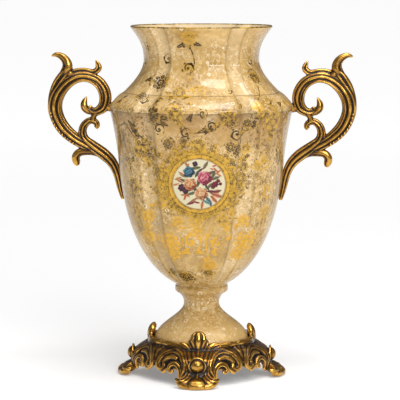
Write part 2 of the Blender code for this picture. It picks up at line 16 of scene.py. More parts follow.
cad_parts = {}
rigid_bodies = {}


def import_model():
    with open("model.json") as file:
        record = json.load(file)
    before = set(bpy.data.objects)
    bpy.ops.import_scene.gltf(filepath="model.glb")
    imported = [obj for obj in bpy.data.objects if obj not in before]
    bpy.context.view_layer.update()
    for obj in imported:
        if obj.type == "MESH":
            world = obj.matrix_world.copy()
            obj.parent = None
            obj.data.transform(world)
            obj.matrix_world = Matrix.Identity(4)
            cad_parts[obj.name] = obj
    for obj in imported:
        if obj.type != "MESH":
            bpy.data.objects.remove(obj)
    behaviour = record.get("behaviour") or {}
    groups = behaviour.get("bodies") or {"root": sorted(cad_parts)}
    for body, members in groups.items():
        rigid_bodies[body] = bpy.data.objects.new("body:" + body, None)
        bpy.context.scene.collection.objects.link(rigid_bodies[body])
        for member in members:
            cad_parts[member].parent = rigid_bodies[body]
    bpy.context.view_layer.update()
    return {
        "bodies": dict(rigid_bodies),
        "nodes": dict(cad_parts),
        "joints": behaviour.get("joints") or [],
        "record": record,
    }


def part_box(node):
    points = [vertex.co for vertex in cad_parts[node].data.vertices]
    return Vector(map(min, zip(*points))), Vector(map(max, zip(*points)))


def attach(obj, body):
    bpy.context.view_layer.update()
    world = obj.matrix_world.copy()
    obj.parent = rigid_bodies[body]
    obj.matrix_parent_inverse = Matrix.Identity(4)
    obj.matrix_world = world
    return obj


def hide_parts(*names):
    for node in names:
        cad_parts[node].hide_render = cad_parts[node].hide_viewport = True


LOG = logging.getLogger("urn_vase")
MM = 0.001
Thing = bpy.types.Object
Socket = bpy.types.NodeSocket
Material = bpy.types.Material
Pair = tuple[float, float]
Triple = tuple[float, float, float]
Colour = tuple[float, float, float]


def between(low: float, high: float, share: float) -> float:
    """The value at a share of the way from low to high."""
    return low + (high - low) * share


def ease(share: float) -> float:
    """An ease from 0 to 1 with level ends."""
    t = min(1.0, max(0.0, share))
    return t * t * (3.0 - 2.0 * t)


def smooth_line(points: Sequence[Sequence[float]], spans: int) -> list[list[float]]:
    """A smooth line through chosen points.

    Args:
        points: the points, each of any number of values.
        spans: how many steps are made between two points.

    Returns:
        The points of the smooth line.
    """
    rows = np.array(points, dtype=float)
    last = len(rows) - 1
    line = []
    for n in range(last):
        a, b, c, d = rows[max(n - 1, 0)], rows[n], rows[n + 1], rows[min(n + 2, last)]
        for step in range(spans):
            t = step / spans
            line.append(0.5 * (2 * b + (c - a) * t + (2 * a - 5 * b + 4 * c - d) * t**2
                               + (3 * b - a - 3 * c + d) * t**3))
    return [list(row) for row in [*line, rows[last]]]


# Sizes of the body


@dataclass(frozen=True)
class BodyForm:
    """The form of the moulded body: its half widths and heights, and its squarish fluted plan."""

    seat: float = 44.0 * MM
    socle: float = 49.5 * MM
    stem: float = 94.0 * MM
    collar: float = 113.0 * MM
    foot: float = 119.0 * MM
    flank: float = 281.08 * MM
    shoulder: float = 346.0 * MM
    band: float = 366.0 * MM
    neck: float = 408.0 * MM
    rim: float = 450.0 * MM
    seat_width: float = 55.0 * MM
    socle_width: float = 61.0 * MM
    stem_width: float = 22.8 * MM
    collar_width: float = 33.8 * MM
    foot_width: float = 33.0 * MM
    flank_width: float = 105.8 * MM
    shoulder_width: float = 116.8 * MM
    neck_width: float = 73.5 * MM
    rim_width: float = 90.4 * MM
    band_proud: float = 3.0 * MM
    collar_half: float = 4.5 * MM
    wall: float = 5.0 * MM
    squareness: float = 2.4
    square_rise: float = 18.0 * MM
    flute_angle: float = 33.5
    flute_half: float = 7.0
    flute_depth: float = 0.056
    flute_roundness: float = 2.4
    flute_rise: float = 12.0 * MM
    axis_width: float = 0.001 * MM
    front_steps: int = 14
    side_steps: int = 26
    flute_steps: int = 16
    neck_spans: int = 18
    cone_spans: int = 34
    flank_spans: int = 26
    bowl_spans: int = 66
    stem_spans: int = 4
    socle_spans: int = 18
    inside_stride: int = 4
    probe: float = 2.0

    def bezier(self, ends: Sequence[Pair], spans: int) -> list[Pair]:
        """Points of one curved stretch of the profile, without its last one."""
        corners = [Vector((x, z, 0.0)) for x, z in ends]
        return [(p.x, p.y) for p in interpolate_bezier(*corners, spans + 1)[:-1]]

    def bowl(self) -> list[Pair]:
        """The outer side from the rim down to the bowl's foot, as (half width, height)."""
        flare = self.rim_width - self.neck_width
        cone = self.shoulder_width - self.neck_width
        edge = self.shoulder_width - self.flank_width
        belly = self.flank_width - self.foot_width
        drop = self.flank - self.foot
        lift, rise, tall = self.rim - self.neck, self.neck - self.shoulder, self.shoulder - self.foot
        points = self.bezier([
            (self.rim_width, self.rim - 1.6 * MM), (self.neck_width + 0.35 * flare, self.neck + 0.62 * lift),
            (self.neck_width, self.neck + 0.4 * lift), (self.neck_width, self.neck)], self.neck_spans)
        points += self.bezier([
            (self.neck_width, self.neck), (self.neck_width, self.neck - 0.37 * rise),
            (self.neck_width + 0.62 * cone, self.shoulder + 0.34 * rise),
            (self.shoulder_width, self.shoulder + 0.02 * rise)], self.cone_spans)
        points = [(x + self.band_swell(z), z) for x, z in points]
        points += [(self.shoulder_width, self.shoulder + 0.02 * rise)]
        points += self.bezier([
            (self.shoulder_width - 0.3 * MM, self.shoulder - 0.008 * tall),
            (self.flank_width + 0.62 * edge, self.shoulder - 0.08 * tall),
            (self.flank_width + 0.15 * edge, self.flank + 0.08 * tall),
            (self.flank_width, self.flank)], self.flank_spans)
        points += self.bezier([
            (self.flank_width, self.flank), (self.flank_width - 0.057 * belly, self.flank - 0.346 * drop),
            (self.flank_width - 0.26 * belly, self.flank - 0.81 * drop),
            (self.foot_width, self.foot)], self.bowl_spans)
        return [*points, (self.foot_width, self.foot)]

    def band_swell(self, height: float) -> float:
        """How far the rolled band above the shoulder edge stands proud.

        Args:
            height: metres above the ground.

        Returns:
            The swell in metres, 0 off the band.
        """
        share = (height - self.shoulder) / (self.band - self.shoulder)
        if not 0.0 < share < 1.0:
            return 0.0
        return self.band_proud * (1.0 - abs(2.0 * share - 1.0) ** 4.0) * (0.5 + 0.5 * share)

    def foot_line(self) -> list[Pair]:
        """The collar, the stem and the socle, down to the flat seat."""
        spread = self.socle_width - self.stem_width
        tall = self.stem - self.socle
        half = self.collar_half
        ring = [(self.collar_width - 1.2 * MM + 1.6 * MM * math.sin(math.pi * n / 6),
                 self.collar + half * math.cos(math.pi * n / 6)) for n in range(7)]
        points = [*ring, (between(self.stem_width, self.collar_width, 0.55), self.collar - 1.5 * half)]
        points += self.bezier([
            (between(self.stem_width, self.collar_width, 0.3), self.collar - 2.1 * half),
            (self.stem_width + 0.5 * MM, self.collar - 3.0 * half),
            (self.stem_width, self.stem + 3 * MM), (self.stem_width, self.stem)], self.stem_spans)
        points += self.bezier([
            (self.stem_width, self.stem), (self.stem_width, self.stem - 0.36 * tall),
            (self.stem_width + 0.82 * spread, self.stem - 0.54 * tall),
            (self.socle_width, self.socle)], self.socle_spans)
        return [*points, (self.socle_width, self.socle), (self.socle_width - 1.5 * MM, self.socle - 3 * MM),
                (self.seat_width, self.seat), (0.0, self.seat)]

    def inside(self) -> list[Pair]:
        """The inner side of the wall, from the middle of the floor up to the rim."""
        outer = self.bowl()[::self.inside_stride]
        line: list[Pair] = []
        for before, here, after in zip([outer[0], *outer], outer, [*outer[1:], outer[-1]]):
            along = Vector((after[0] - before[0], after[1] - before[1])).normalized()
            moved = (here[0] + along.y * self.wall, here[1] - along.x * self.wall)
            top = line[-1][1] if line else self.rim - 2.0 * MM
            if moved[0] > self.wall and moved[1] > self.foot + self.wall and moved[1] < top - 0.5 * MM:
                line.append(moved)
        line = [(self.rim_width - 0.62 * self.wall, self.rim - 1.2 * MM), *line]
        return [(0.0, self.foot + self.wall), *line[::-1]]

    def profile(self) -> list[Pair]:
        """The whole closed section, from the middle of the floor over the rim to the middle of the seat."""
        lip = [(self.rim_width - 0.42 * self.wall, self.rim - 0.2 * MM), (self.rim_width - 0.2 * self.wall, self.rim)]
        return [*self.inside(), *lip, *self.bowl(), *self.foot_line()]

    def half_width(self, height: float) -> float:
        """The half width of the outer side.

        Args:
            height: metres above the ground, between the socle and the rim.

        Returns:
            The half width in metres.
        """
        points = [*self.bowl(), *self.foot_line()]
        for (upper_width, upper), (lower_width, lower) in zip(points, points[1:]):
            if lower <= height <= upper:
                return between(lower_width, upper_width, (height - lower) / max(upper - lower, 1e-9))
        return points[0][0]

    def plan_angle(self, even: float) -> float:
        """Moves evenly spaced angles so that they gather in the corner flutes.

        Args:
            even: degrees from the front, evenly spaced.

        Returns:
            The moved angle in degrees.
        """
        quarter, rest = divmod(even, 90.0)
        towards_side = int(quarter) % 2 == 0
        first, last = (self.front_steps, self.side_steps) if towards_side else (self.side_steps, self.front_steps)
        step = rest / 90.0 * (first + self.flute_steps + last)
        middle = self.flute_angle if towards_side else 90.0 - self.flute_angle
        start, end = middle - self.flute_half, middle + self.flute_half
        if step < first:
            placed = between(0.0, start, step / first)
        elif step < first + self.flute_steps:
            placed = between(start, end, (step - first) / self.flute_steps)
        else:
            placed = between(end, 90.0, (step - first - self.flute_steps) / last)
        return quarter * 90.0 + placed

    def plan_radius(self, half_width: float, angle: float, height: float) -> float:
        """How far the outer side stands from the axis.

        Args:
            half_width: the half width of the outer side at the handles.
            angle: degrees from the front.
            height: metres above the ground.

        Returns:
            The distance from the axis in metres.
        """
        power = between(2.0, self.squareness, ease((height - self.collar) / self.square_rise))
        across, ahead = abs(math.sin(math.radians(angle))), abs(math.cos(math.radians(angle)))
        radius = half_width / (across**power + ahead**power) ** (1.0 / power)
        off = abs(math.degrees(math.atan2(across, ahead)) - self.flute_angle) / self.flute_half
        hollow = max(0.0, 1.0 - off**self.flute_roundness)
        return radius * (1.0 - self.flute_depth * hollow * ease((height - self.foot) / self.flute_rise))

    def place(self, angle: float, height: float, turn: float = 0.0) -> Matrix:
        """A frame on the body's side: X along it, Y up it and Z out of it.

        Args:
            angle: degrees from the front, towards the right.
            height: metres above the ground.
            turn: degrees by which X is turned about Z.

        Returns:
            The frame as a matrix.
        """
        def spot(a: float, z: float) -> Vector:
            """The place at an angle and a height."""
            radius = self.plan_radius(self.half_width(z), a, z)
            return Vector((radius * math.sin(math.radians(a)), -radius * math.cos(math.radians(a)), z))

        here = spot(angle, height)
        step = self.probe
        along = (spot(angle + step, height) - spot(angle - step, height)).normalized()
        upward = spot(angle, height + step * MM) - spot(angle, height - step * MM)
        out = along.cross(upward).normalized()
        frame = Matrix((along, out.cross(along), out)).transposed().to_4x4()
        return Matrix.Translation(here) @ frame @ Matrix.Rotation(math.radians(turn), 4, "Z")


# Modelling by hand


class Bench:
    """The edit-mode tools that the pieces are modelled with."""

    @staticmethod
    def clear_selection() -> None:
        """Leaves edit mode and deselects everything."""
        if bpy.context.mode != "OBJECT":
            bpy.ops.object.mode_set(mode="OBJECT")
        bpy.ops.object.select_all(action="DESELECT")

    @staticmethod
    def pick(things: Iterable[Thing]) -> None:
        """Selects some objects and makes the last one active.

        Args:
            things: the objects.
        """
        Bench.clear_selection()
        for thing in things:
            thing.select_set(True)
            bpy.context.view_layer.objects.active = thing

    @staticmethod
    def line(name: str, points: Sequence[Triple]) -> Thing:
        """Draws a line of edges by extruding one vertex from point to point.

        Args:
            name: the new object's name.
            points: the places of the vertices.

        Returns:
            The new object.
        """
        Bench.clear_selection()
        bpy.ops.mesh.primitive_plane_add(size=2 * MM, location=(0.0, 0.0, 0.0))
        thing = bpy.context.active_object
        thing.name = name
        bpy.ops.object.mode_set(mode="EDIT")
        bpy.ops.mesh.select_all(action="SELECT")
        bpy.ops.mesh.merge(type="CENTER")
        bpy.ops.transform.translate(value=points[0])
        for before, after in zip(points, points[1:]):
            step = [b - a for a, b in zip(before, after)]
            bpy.ops.mesh.extrude_region_move(TRANSFORM_OT_translate={"value": step})
        bpy.ops.object.mode_set(mode="OBJECT")
        return thing

    @staticmethod
    def spun(name: str, profile: Sequence[Pair], steps: int) -> Thing:
        """Turns a closed section about the vertical axis.

        Args:
            name: the new object's name.
            profile: the section as (radius, height), from axis to axis.
            steps: how many steps the turn has.

        Returns:
            The new object.
        """
        thing = Bench.line(name, [(x, 0.0, z) for x, z in profile])
        bpy.ops.object.mode_set(mode="EDIT")
        bpy.ops.mesh.select_all(action="SELECT")
        bpy.ops.mesh.spin(steps=steps, angle=math.tau, center=(0.0, 0.0, 0.0), axis=(0.0, 0.0, 1.0))
        Bench.close_up()
        return thing

    @staticmethod
    def close_up() -> None:
        """Merges the doubles of the active mesh, turns its faces outwards and leaves edit mode."""
        bpy.ops.object.mode_set(mode="EDIT")
        bpy.ops.mesh.select_all(action="SELECT")
        bpy.ops.mesh.remove_doubles(threshold=0.002 * MM)
        bpy.ops.mesh.normals_make_consistent(inside=False)
        bpy.ops.object.mode_set(mode="OBJECT")

    @staticmethod
    def apply(thing: Thing, kind: str, **settings: Any) -> None:
        """Adds a modifier to an object and applies it.

        Args:
            thing: the object.
            kind: the modifier's type.
            settings: the modifier's settings.
        """
        Bench.pick([thing])
        modifier = thing.modifiers.new(kind.title(), kind)
        for name, value in settings.items():
            setattr(modifier, name, value)
        bpy.ops.object.modifier_apply(modifier=modifier.name)

    @staticmethod
    def joined(name: str, things: Sequence[Thing]) -> Thing:
        """Joins several objects into one.

        Args:
            name: the new name of the object and its mesh.
            things: the objects.

        Returns:
            The joined object.
        """
        Bench.pick(things)
        bpy.ops.object.join()
        thing = bpy.context.active_object
        thing.name = name
        thing.data.name = name
        return thing

    @staticmethod
    def ball(place: Triple, radius: float, stretch: Triple = (1.0, 1.0, 1.0)) -> Thing:
        """A round bead.

        Args:
            place: where its middle is.
            radius: its radius before it is stretched.
            stretch: its stretch along each axis.

        Returns:
            The bead, with its place and stretch in the mesh.
        """
        Bench.clear_selection()
        bpy.ops.mesh.primitive_uv_sphere_add(segments=24, ring_count=16, radius=radius, location=place)
        thing = bpy.context.active_object
        bpy.ops.transform.resize(value=stretch, center_override=place)
        bpy.ops.object.transform_apply(location=True, rotation=True, scale=True)
        return thing

    @staticmethod
    def read(items: Any, name: str, width: int = 1, kind: type = float) -> np.ndarray:
        """Reads one property of all vertices, edges, corners or faces of a mesh.

        Args:
            items: the mesh's vertices, edges, loops or polygons.
            name: the property's name.
            width: how many numbers each of them has.
            kind: the kind of number.

        Returns:
            A number for each of them, or a row of numbers.
        """
        values = np.empty(len(items) * width, dtype=kind)
        items.foreach_get(name, values)
        return values.reshape(-1, width) if width > 1 else values

    @staticmethod
    def moved(thing: Thing, rule: Callable[[np.ndarray], np.ndarray]) -> Thing:
        """Moves every vertex of an object.

        Args:
            thing: the object.
            rule: makes the new places from the array of the old ones.

        Returns:
            The same object.
        """
        vertices = thing.data.vertices
        vertices.foreach_set("co", rule(Bench.read(vertices, "co", 3)).ravel())
        thing.data.update()
        return thing

    @staticmethod
    def mirrored(thing: Thing, side: float) -> Thing:
        """Mirrors an object across its X for a side of -1, and leaves it for a side of 1."""
        return Bench.moved(thing, lambda p: p * np.array([side, 1.0, 1.0]))

    @staticmethod
    def copied(thing: Thing) -> Thing:
        """A copy of an object with its own mesh.

        Args:
            thing: the object.

        Returns:
            The copy.
        """
        Bench.pick([thing])
        bpy.ops.object.duplicate()
        return bpy.context.active_object

    @staticmethod
    def paint(thing: Thing, *finishes: Material) -> None:
        """Gives an object its finishes in place of those it has.

        Args:
            thing: the object.
            finishes: the materials, in the order of their slots.
        """
        thing.data.materials.clear()
        for finish in finishes:
            thing.data.materials.append(finish)

    @staticmethod
    def outward(thing: Thing) -> None:
        """Turns the faces of a closed mesh outwards."""
        Bench.pick([thing])
        Bench.close_up()

    @staticmethod
    def smooth(thing: Thing) -> None:
        """Shades a whole mesh smooth."""
        Bench.pick([thing])
        bpy.ops.object.shade_smooth()


SECTION_STEPS = 40
SECTION_FULLNESS = 0.85


class Section(Enum):
    """How the front of a cast stroke is carved along its length: the middle, depth and width of each groove."""

    ROUND = ((0.0, 0.0, 1.0),)
    CHANNEL = ((0.0, 0.42, 0.34),)
    RIBBED = ((0.42, 0.36, 0.17), (-0.42, 0.36, 0.17))
    EDGED = ((0.58, 0.4, 0.16),)

    def outline(self, depth: float) -> list[Pair]:
        """The closed section of a stroke of half width 1.

        Args:
            depth: the half depth as a share of the half width.

        Returns:
            Points across the stroke and out of its plane.
        """
        points = []
        for n in range(SECTION_STEPS):
            turn = math.tau * n / SECTION_STEPS
            across, out = (math.copysign(abs(x) ** SECTION_FULLNESS, x) for x in (math.cos(turn), math.sin(turn)))
            cut = sum(deep * math.exp(-(((across - middle) / width) ** 2)) for middle, deep, width in self.value)
            points.append((across, depth * out * (1.0 - cut)))
        return points


ROUND, CHANNEL, RIBBED, EDGED = Section


@dataclass(frozen=True)
class Stroke:
    """A cast stroke: its points across and up with half widths, in millimetres, and how it is carved."""

    points: tuple[Triple, ...]
    section: Section = ROUND
    depth: float = 1.0
    spans: int = 6

    def flat(self, name: str, size: float = 1.0) -> Thing:
        """Sweeps the stroke in the XY plane.

        Args:
            name: the new object's name.
            size: by how much the half widths are multiplied.

        Returns:
            The stroke as a closed mesh.
        """
        section = self.guide(name + "_section", [(x, y, 1.0) for x, y in self.section.outline(self.depth)], "2D")
        line = smooth_line(self.points, self.spans)
        curve = self.guide(name, [(x * MM, y * MM, width * MM * size) for x, y, width in line])
        curve.data.bevel_mode = "OBJECT"
        curve.data.bevel_object = section
        curve.data.use_fill_caps = True
        curve.data.twist_mode = "Z_UP"
        section.data.splines[0].use_cyclic_u = True
        Bench.pick([curve])
        bpy.ops.object.convert(target="MESH")
        bpy.data.objects.remove(section)
        Bench.close_up()
        return bpy.context.active_object

    @staticmethod
    def guide(name: str, points: Sequence[Triple], dimensions: str = "3D") -> Thing:
        """A curve of straight pieces.

        Args:
            name: the curve's name.
            points: its points as x, y and radius.
            dimensions: whether it is flat ("2D") or not ("3D").

        Returns:
            The curve.
        """
        data = bpy.data.curves.new(name, "CURVE")
        data.dimensions = dimensions
        spline = data.splines.new("POLY")
        spline.points.add(len(points) - 1)
        for point, (x, y, radius) in zip(spline.points, points):
            point.co = (x, y, 0.0, 1.0)
            point.radius = radius
        thing = bpy.data.objects.new(name, data)
        bpy.context.scene.collection.objects.link(thing)
        return thing


@dataclass(frozen=True)
class Casting:
    """How overlapping strokes and balls are run together into one cast piece."""

    grain: float = 0.75 * MM
    thinning: float = 0.6
    softening: int = 3
    hollow_rounds: int = 14
    hollow_pull: float = 0.6

    def run(self, name: str, parts: Sequence[Thing]) -> Thing:
        """Fuses the parts into one smoothed, thinned piece.

        Args:
            name: the cast piece's name.
            parts: closed meshes that overlap.

        Returns:
            The cast piece.
        """
        thing = Bench.joined(name, parts)
        Bench.apply(thing, "REMESH", mode="VOXEL", voxel_size=self.grain, use_smooth_shade=True)
        Bench.apply(thing, "SMOOTH", factor=0.5, iterations=self.softening)
        Bench.apply(thing, "DECIMATE", ratio=self.thinning)
        Bench.smooth(thing)
        return thing

    def note_hollows(self, thing: Thing) -> None:
        """Stores on each vertex how far it lies below its softened surroundings, in millimetres.

        Args:
            thing: the cast piece.
        """
        mesh = thing.data
        count = len(mesh.vertices)
        places = Bench.read(mesh.vertices, "co", 3)
        normals = Bench.read(mesh.vertices, "normal", 3)
        start, end = Bench.read(mesh.edges, "vertices", 2, np.int64).T
        share = np.maximum(np.bincount(start, minlength=count) + np.bincount(end, minlength=count), 1)
        soft = places.copy()
        for _ in range(self.hollow_rounds):
            total = np.stack([np.bincount(start, soft[end, k], count) + np.bincount(end, soft[start, k], count)
                              for k in range(3)], axis=1)
            soft = (1.0 - self.hollow_pull) * soft + self.hollow_pull * total / share[:, None]
        depth = np.einsum("ij,ij->i", soft - places, normals) / MM
        layer = mesh.attributes.new("hollow", "FLOAT", "POINT")
        layer.data.foreach_set("value", depth.astype(np.float32))


# Shader maths


class Value:
    """A number in a shader, which Python's operators combine by Math nodes."""

    def __init__(self, desk: "Desk", socket: Socket) -> None:
        """Wraps a socket of the desk's material."""
        self.desk = desk
        self.socket = socket

    def maths(self, operation: str, *values: Any, clamp: bool = False) -> "Value":
        """The result of a Math node.

        Args:
            operation: the node's operation.
            values: its inputs, numbers or other values.
            clamp: whether the result is kept between 0 and 1.

        Returns:
            The result.
        """
        node = self.desk.node("ShaderNodeMath", {"operation": operation}, dict(enumerate(values)))
        if clamp:
            node = self.desk.node("ShaderNodeClamp", None, {0: node.outputs[0]})
        return Value(self.desk, node.outputs[0])

    def __add__(self, other: Any) -> "Value":
        """Adds."""
        return self.maths("ADD", self, other)

    __radd__ = __add__

    def __sub__(self, other: Any) -> "Value":
        """Subtracts."""
        return self.maths("SUBTRACT", self, other)

    def __rsub__(self, other: Any) -> "Value":
        """Subtracts this from a number."""
        return self.maths("SUBTRACT", other, self)

    def __mul__(self, other: Any) -> "Value":
        """Multiplies."""
        return self.maths("MULTIPLY", self, other)

    __rmul__ = __mul__

    def __abs__(self) -> "Value":
        """The size without its sign."""
        return self.maths("ABSOLUTE", self)

    def least(self, other: Any) -> "Value":
        """The smaller of two."""
        return self.maths("MINIMUM", self, other)

    def most(self, other: Any) -> "Value":
        """The larger of two."""
        return self.maths("MAXIMUM", self, other)

    def fraction(self) -> "Value":
        """What is left after whole numbers are taken away."""
        return self.maths("FRACT", self)

    def cosine(self) -> "Value":
        """The cosine of this angle in radians."""
        return self.maths("COSINE", self)

    def times_plus(self, factor: Any, term: Any, clamp: bool = False) -> "Value":
        """This times a factor plus a term."""
        return self.maths("MULTIPLY_ADD", self, factor, term, clamp=clamp)

    def below(self, limit: float, soft: float) -> "Value":
        """A mask that is 1 below a limit and 0 above it, with a soft edge."""
        return self.times_plus(-1.0 / soft, limit / soft + 0.5, clamp=True)

    def above(self, limit: float, soft: float) -> "Value":
        """A mask that is 1 above a limit and 0 below it, with a soft edge."""
        return self.times_plus(1.0 / soft, 0.5 - limit / soft, clamp=True)


class Desk:
    """Makes the nodes of one material."""

    def __init__(self, name: str) -> None:
        """Starts an empty material with its output.

        Args:
            name: the material's name.
        """
        self.material = bpy.data.materials.new(name)
        self.material.use_nodes = True
        self.tree = self.material.node_tree
        self.tree.nodes.clear()
        self.output = self.tree.nodes.new("ShaderNodeOutputMaterial")
        self.point = self.node("ShaderNodeTexCoord").outputs["Object"]

    def node(self, kind: str, settings: dict[str, Any] | None = None,
             inputs: dict[int | str, Any] | None = None) -> bpy.types.Node:
        """Makes a node.

        Args:
            kind: the node's type.
            settings: its settings, such as a Math node's operation; a ramp's stops are given as "stops".
            inputs: the values or links of its sockets, by number or name.

        Returns:
            The new node.
        """
        node = self.tree.nodes.new(kind)
        for name, setting in (settings or {}).items():
            if name == "stops":
                self.stops(node.color_ramp, setting)
            else:
                setattr(node, name, setting)
        for key, value in (inputs or {}).items():
            socket = node.inputs[key]
            if isinstance(value, Value):
                self.tree.links.new(value.socket, socket)
            elif isinstance(value, Socket):
                self.tree.links.new(value, socket)
            elif socket.type == "RGBA" and len(value) == 3:
                socket.default_value = (*value, 1.0)
            else:
                socket.default_value = value
        return node

    @staticmethod
    def stops(ramp: bpy.types.ColorRamp, stops: Sequence[tuple[float, Colour]]) -> None:
        """Sets the stops of a colour ramp.

        Args:
            ramp: the ramp.
            stops: the place and the colour of each stop.
        """
        while len(ramp.elements) < len(stops):
            ramp.elements.new(1.0)
        for element, (place, colour) in zip(ramp.elements, stops):
            element.position = place
            element.color = (*colour, 1.0)

    def value(self, socket: Socket) -> Value:
        """Wraps a socket as a number."""
        return Value(self, socket)

    def noted(self, name: str, output: str) -> Socket:
        """What the mesh holds under an attribute's name."""
        return self.node("ShaderNodeAttribute", {"attribute_name": name}).outputs[output]

    def mix(self, factor: Any, first: Any, second: Any) -> Socket:
        """A colour between two colours."""
        inputs = {0: factor, 6: first, 7: second}
        return self.node("ShaderNodeMix", {"data_type": "RGBA", "clamp_factor": True}, inputs).outputs[2]

    def layered(self, colour: Any, *layers: tuple[Value, Colour]) -> Any:
        """A colour with others laid over it.

        Args:
            colour: the lowest colour.
            layers: a mask and a colour for each of the others, from the lowest up.

        Returns:
            The colour that shows.
        """
        for mask, tint in layers:
            colour = self.mix(mask, colour, tint)
        return colour

    def between(self, factor: Any, first: Any, second: Any) -> Value:
        """A number between two numbers."""
        node = self.node("ShaderNodeMix", {"data_type": "FLOAT"}, {0: factor, 2: first, 3: second})
        return self.value(node.outputs[0])

    def ramp(self, factor: Any, stops: Sequence[tuple[float, Colour]]) -> Socket:
        """A colour from a ramp."""
        return self.node("ShaderNodeValToRGB", {"stops": stops}, {0: factor}).outputs[0]

    @staticmethod
    def turned(x: Value, y: Value, middle: Pair, size: float, turn: float = 0.0) -> Pair:
        """The place in the frame of a shape.

        Args:
            x: the place across.
            y: the place up.
            middle: the middle of the shape.
            size: its radius.
            turn: its turn in degrees.

        Returns:
            The place across and up in its frame.
        """
        c, s = math.cos(math.radians(turn)) / size, math.sin(math.radians(turn)) / size
        across = x.times_plus(c, y.times_plus(s, -middle[0] * c - middle[1] * s))
        up = y.times_plus(c, x.times_plus(-s, middle[0] * s - middle[1] * c))
        return across, up

    def split(self, vector: Any) -> tuple[Value, Value, Value]:
        """The three numbers of a vector."""
        node = self.node("ShaderNodeSeparateXYZ", None, {0: vector})
        return self.value(node.outputs[0]), self.value(node.outputs[1]), self.value(node.outputs[2])

    def vector(self, x: Any, y: Any, z: Any) -> Socket:
        """A vector of three numbers."""
        return self.node("ShaderNodeCombineXYZ", None, {0: x, 1: y, 2: z}).outputs[0]

    def length(self, vector: Any) -> Value:
        """The length of a vector."""
        return self.value(self.node("ShaderNodeVectorMath", {"operation": "LENGTH"}, {0: vector}).outputs["Value"])

    def noise(self, vector: Any, scale: float, detail: float = 3.0, rough: float = 0.55) -> Value:
        """Cloudy noise from 0 to 1."""
        inputs = {"Vector": vector, "Scale": scale, "Detail": detail, "Roughness": rough}
        return self.value(self.node("ShaderNodeTexNoise", None, inputs).outputs[0])

    def warped(self, vector: Any, scale: float, size: float) -> Socket:
        """A place moved about by cloudy noise.

        Args:
            vector: the place.
            scale: how fine the noise is.
            size: how far it moves the place at most, either way along each axis.

        Returns:
            The moved place.
        """
        noise = self.node("ShaderNodeTexNoise", None, {"Vector": vector, "Scale": scale, "Detail": 1.0})
        push = self.node("ShaderNodeVectorMath", {"operation": "SUBTRACT"},
                         {0: noise.outputs["Color"], 1: (0.5, 0.5, 0.5)})
        return self.node("ShaderNodeVectorMath", {"operation": "MULTIPLY_ADD"},
                         {0: push.outputs[0], 1: (2 * size, 2 * size, 2 * size), 2: vector}).outputs[0]

    def cells(self, vector: Any, scale: float) -> tuple[Value, Value]:
        """The distance to the nearest of scattered points, and a number of its own for each of them."""
        node = self.node("ShaderNodeTexVoronoi", None, {"Vector": vector, "Scale": scale})
        return self.value(node.outputs["Distance"]), self.split(node.outputs["Color"])[0]

    def local(self, point: Any, frame: Matrix, size: float) -> Socket:
        """A point in a motif's own frame, where the motif has the radius 1.

        Args:
            point: the point.
            frame: the motif's frame.
            size: its radius in metres.

        Returns:
            The point in that frame.
        """
        place, turn, scale = frame.decompose()
        node = self.node("ShaderNodeMapping", {"vector_type": "TEXTURE"}, {
            "Vector": point, "Location": place, "Rotation": turn.to_euler("XYZ"), "Scale": scale * size})
        return node.outputs[0]

    def shader(self, **inputs: Any) -> None:
        """Joins the main shader to the output, with its sockets set or linked.

        Args:
            inputs: the values or links of its sockets, named with underscores for spaces.
        """
        sockets = {name.replace("_", " "): value for name, value in inputs.items()}
        node = self.node("ShaderNodeBsdfPrincipled", None, sockets)
        self.tree.links.new(node.outputs[0], self.output.inputs[0])

    def bump(self, height: Value, strength: float, distance: float) -> Socket:
        """A normal from a height."""
        node = self.node("ShaderNodeBump", None, {"Height": height, "Strength": strength, "Distance": distance})
        return node.outputs[0]


@dataclass(frozen=True)
class Motif:
    """One gold motif.

    Its angle is in degrees from the front, its height in millimetres and its size in the photograph's pixels.
    Its tone runs from 0 for dark to 1 for bright, its turn is in degrees, and a hand of -1 mirrors it.
    """

    angle: float
    height: float
    size: float
    tone: float
    turn: float = 0.0
    hand: float = 1.0


@dataclass(frozen=True)
class Stem:
    """A thin gold stem between two places, each degrees from the front and a height in millimetres."""

    start: Pair
    end: Pair
    bulge: float
    tone: float = 0.5


# The motifs' sizes are read from the photograph, where a pixel shows this many millimetres at the vase.
PIXEL = 1.2857

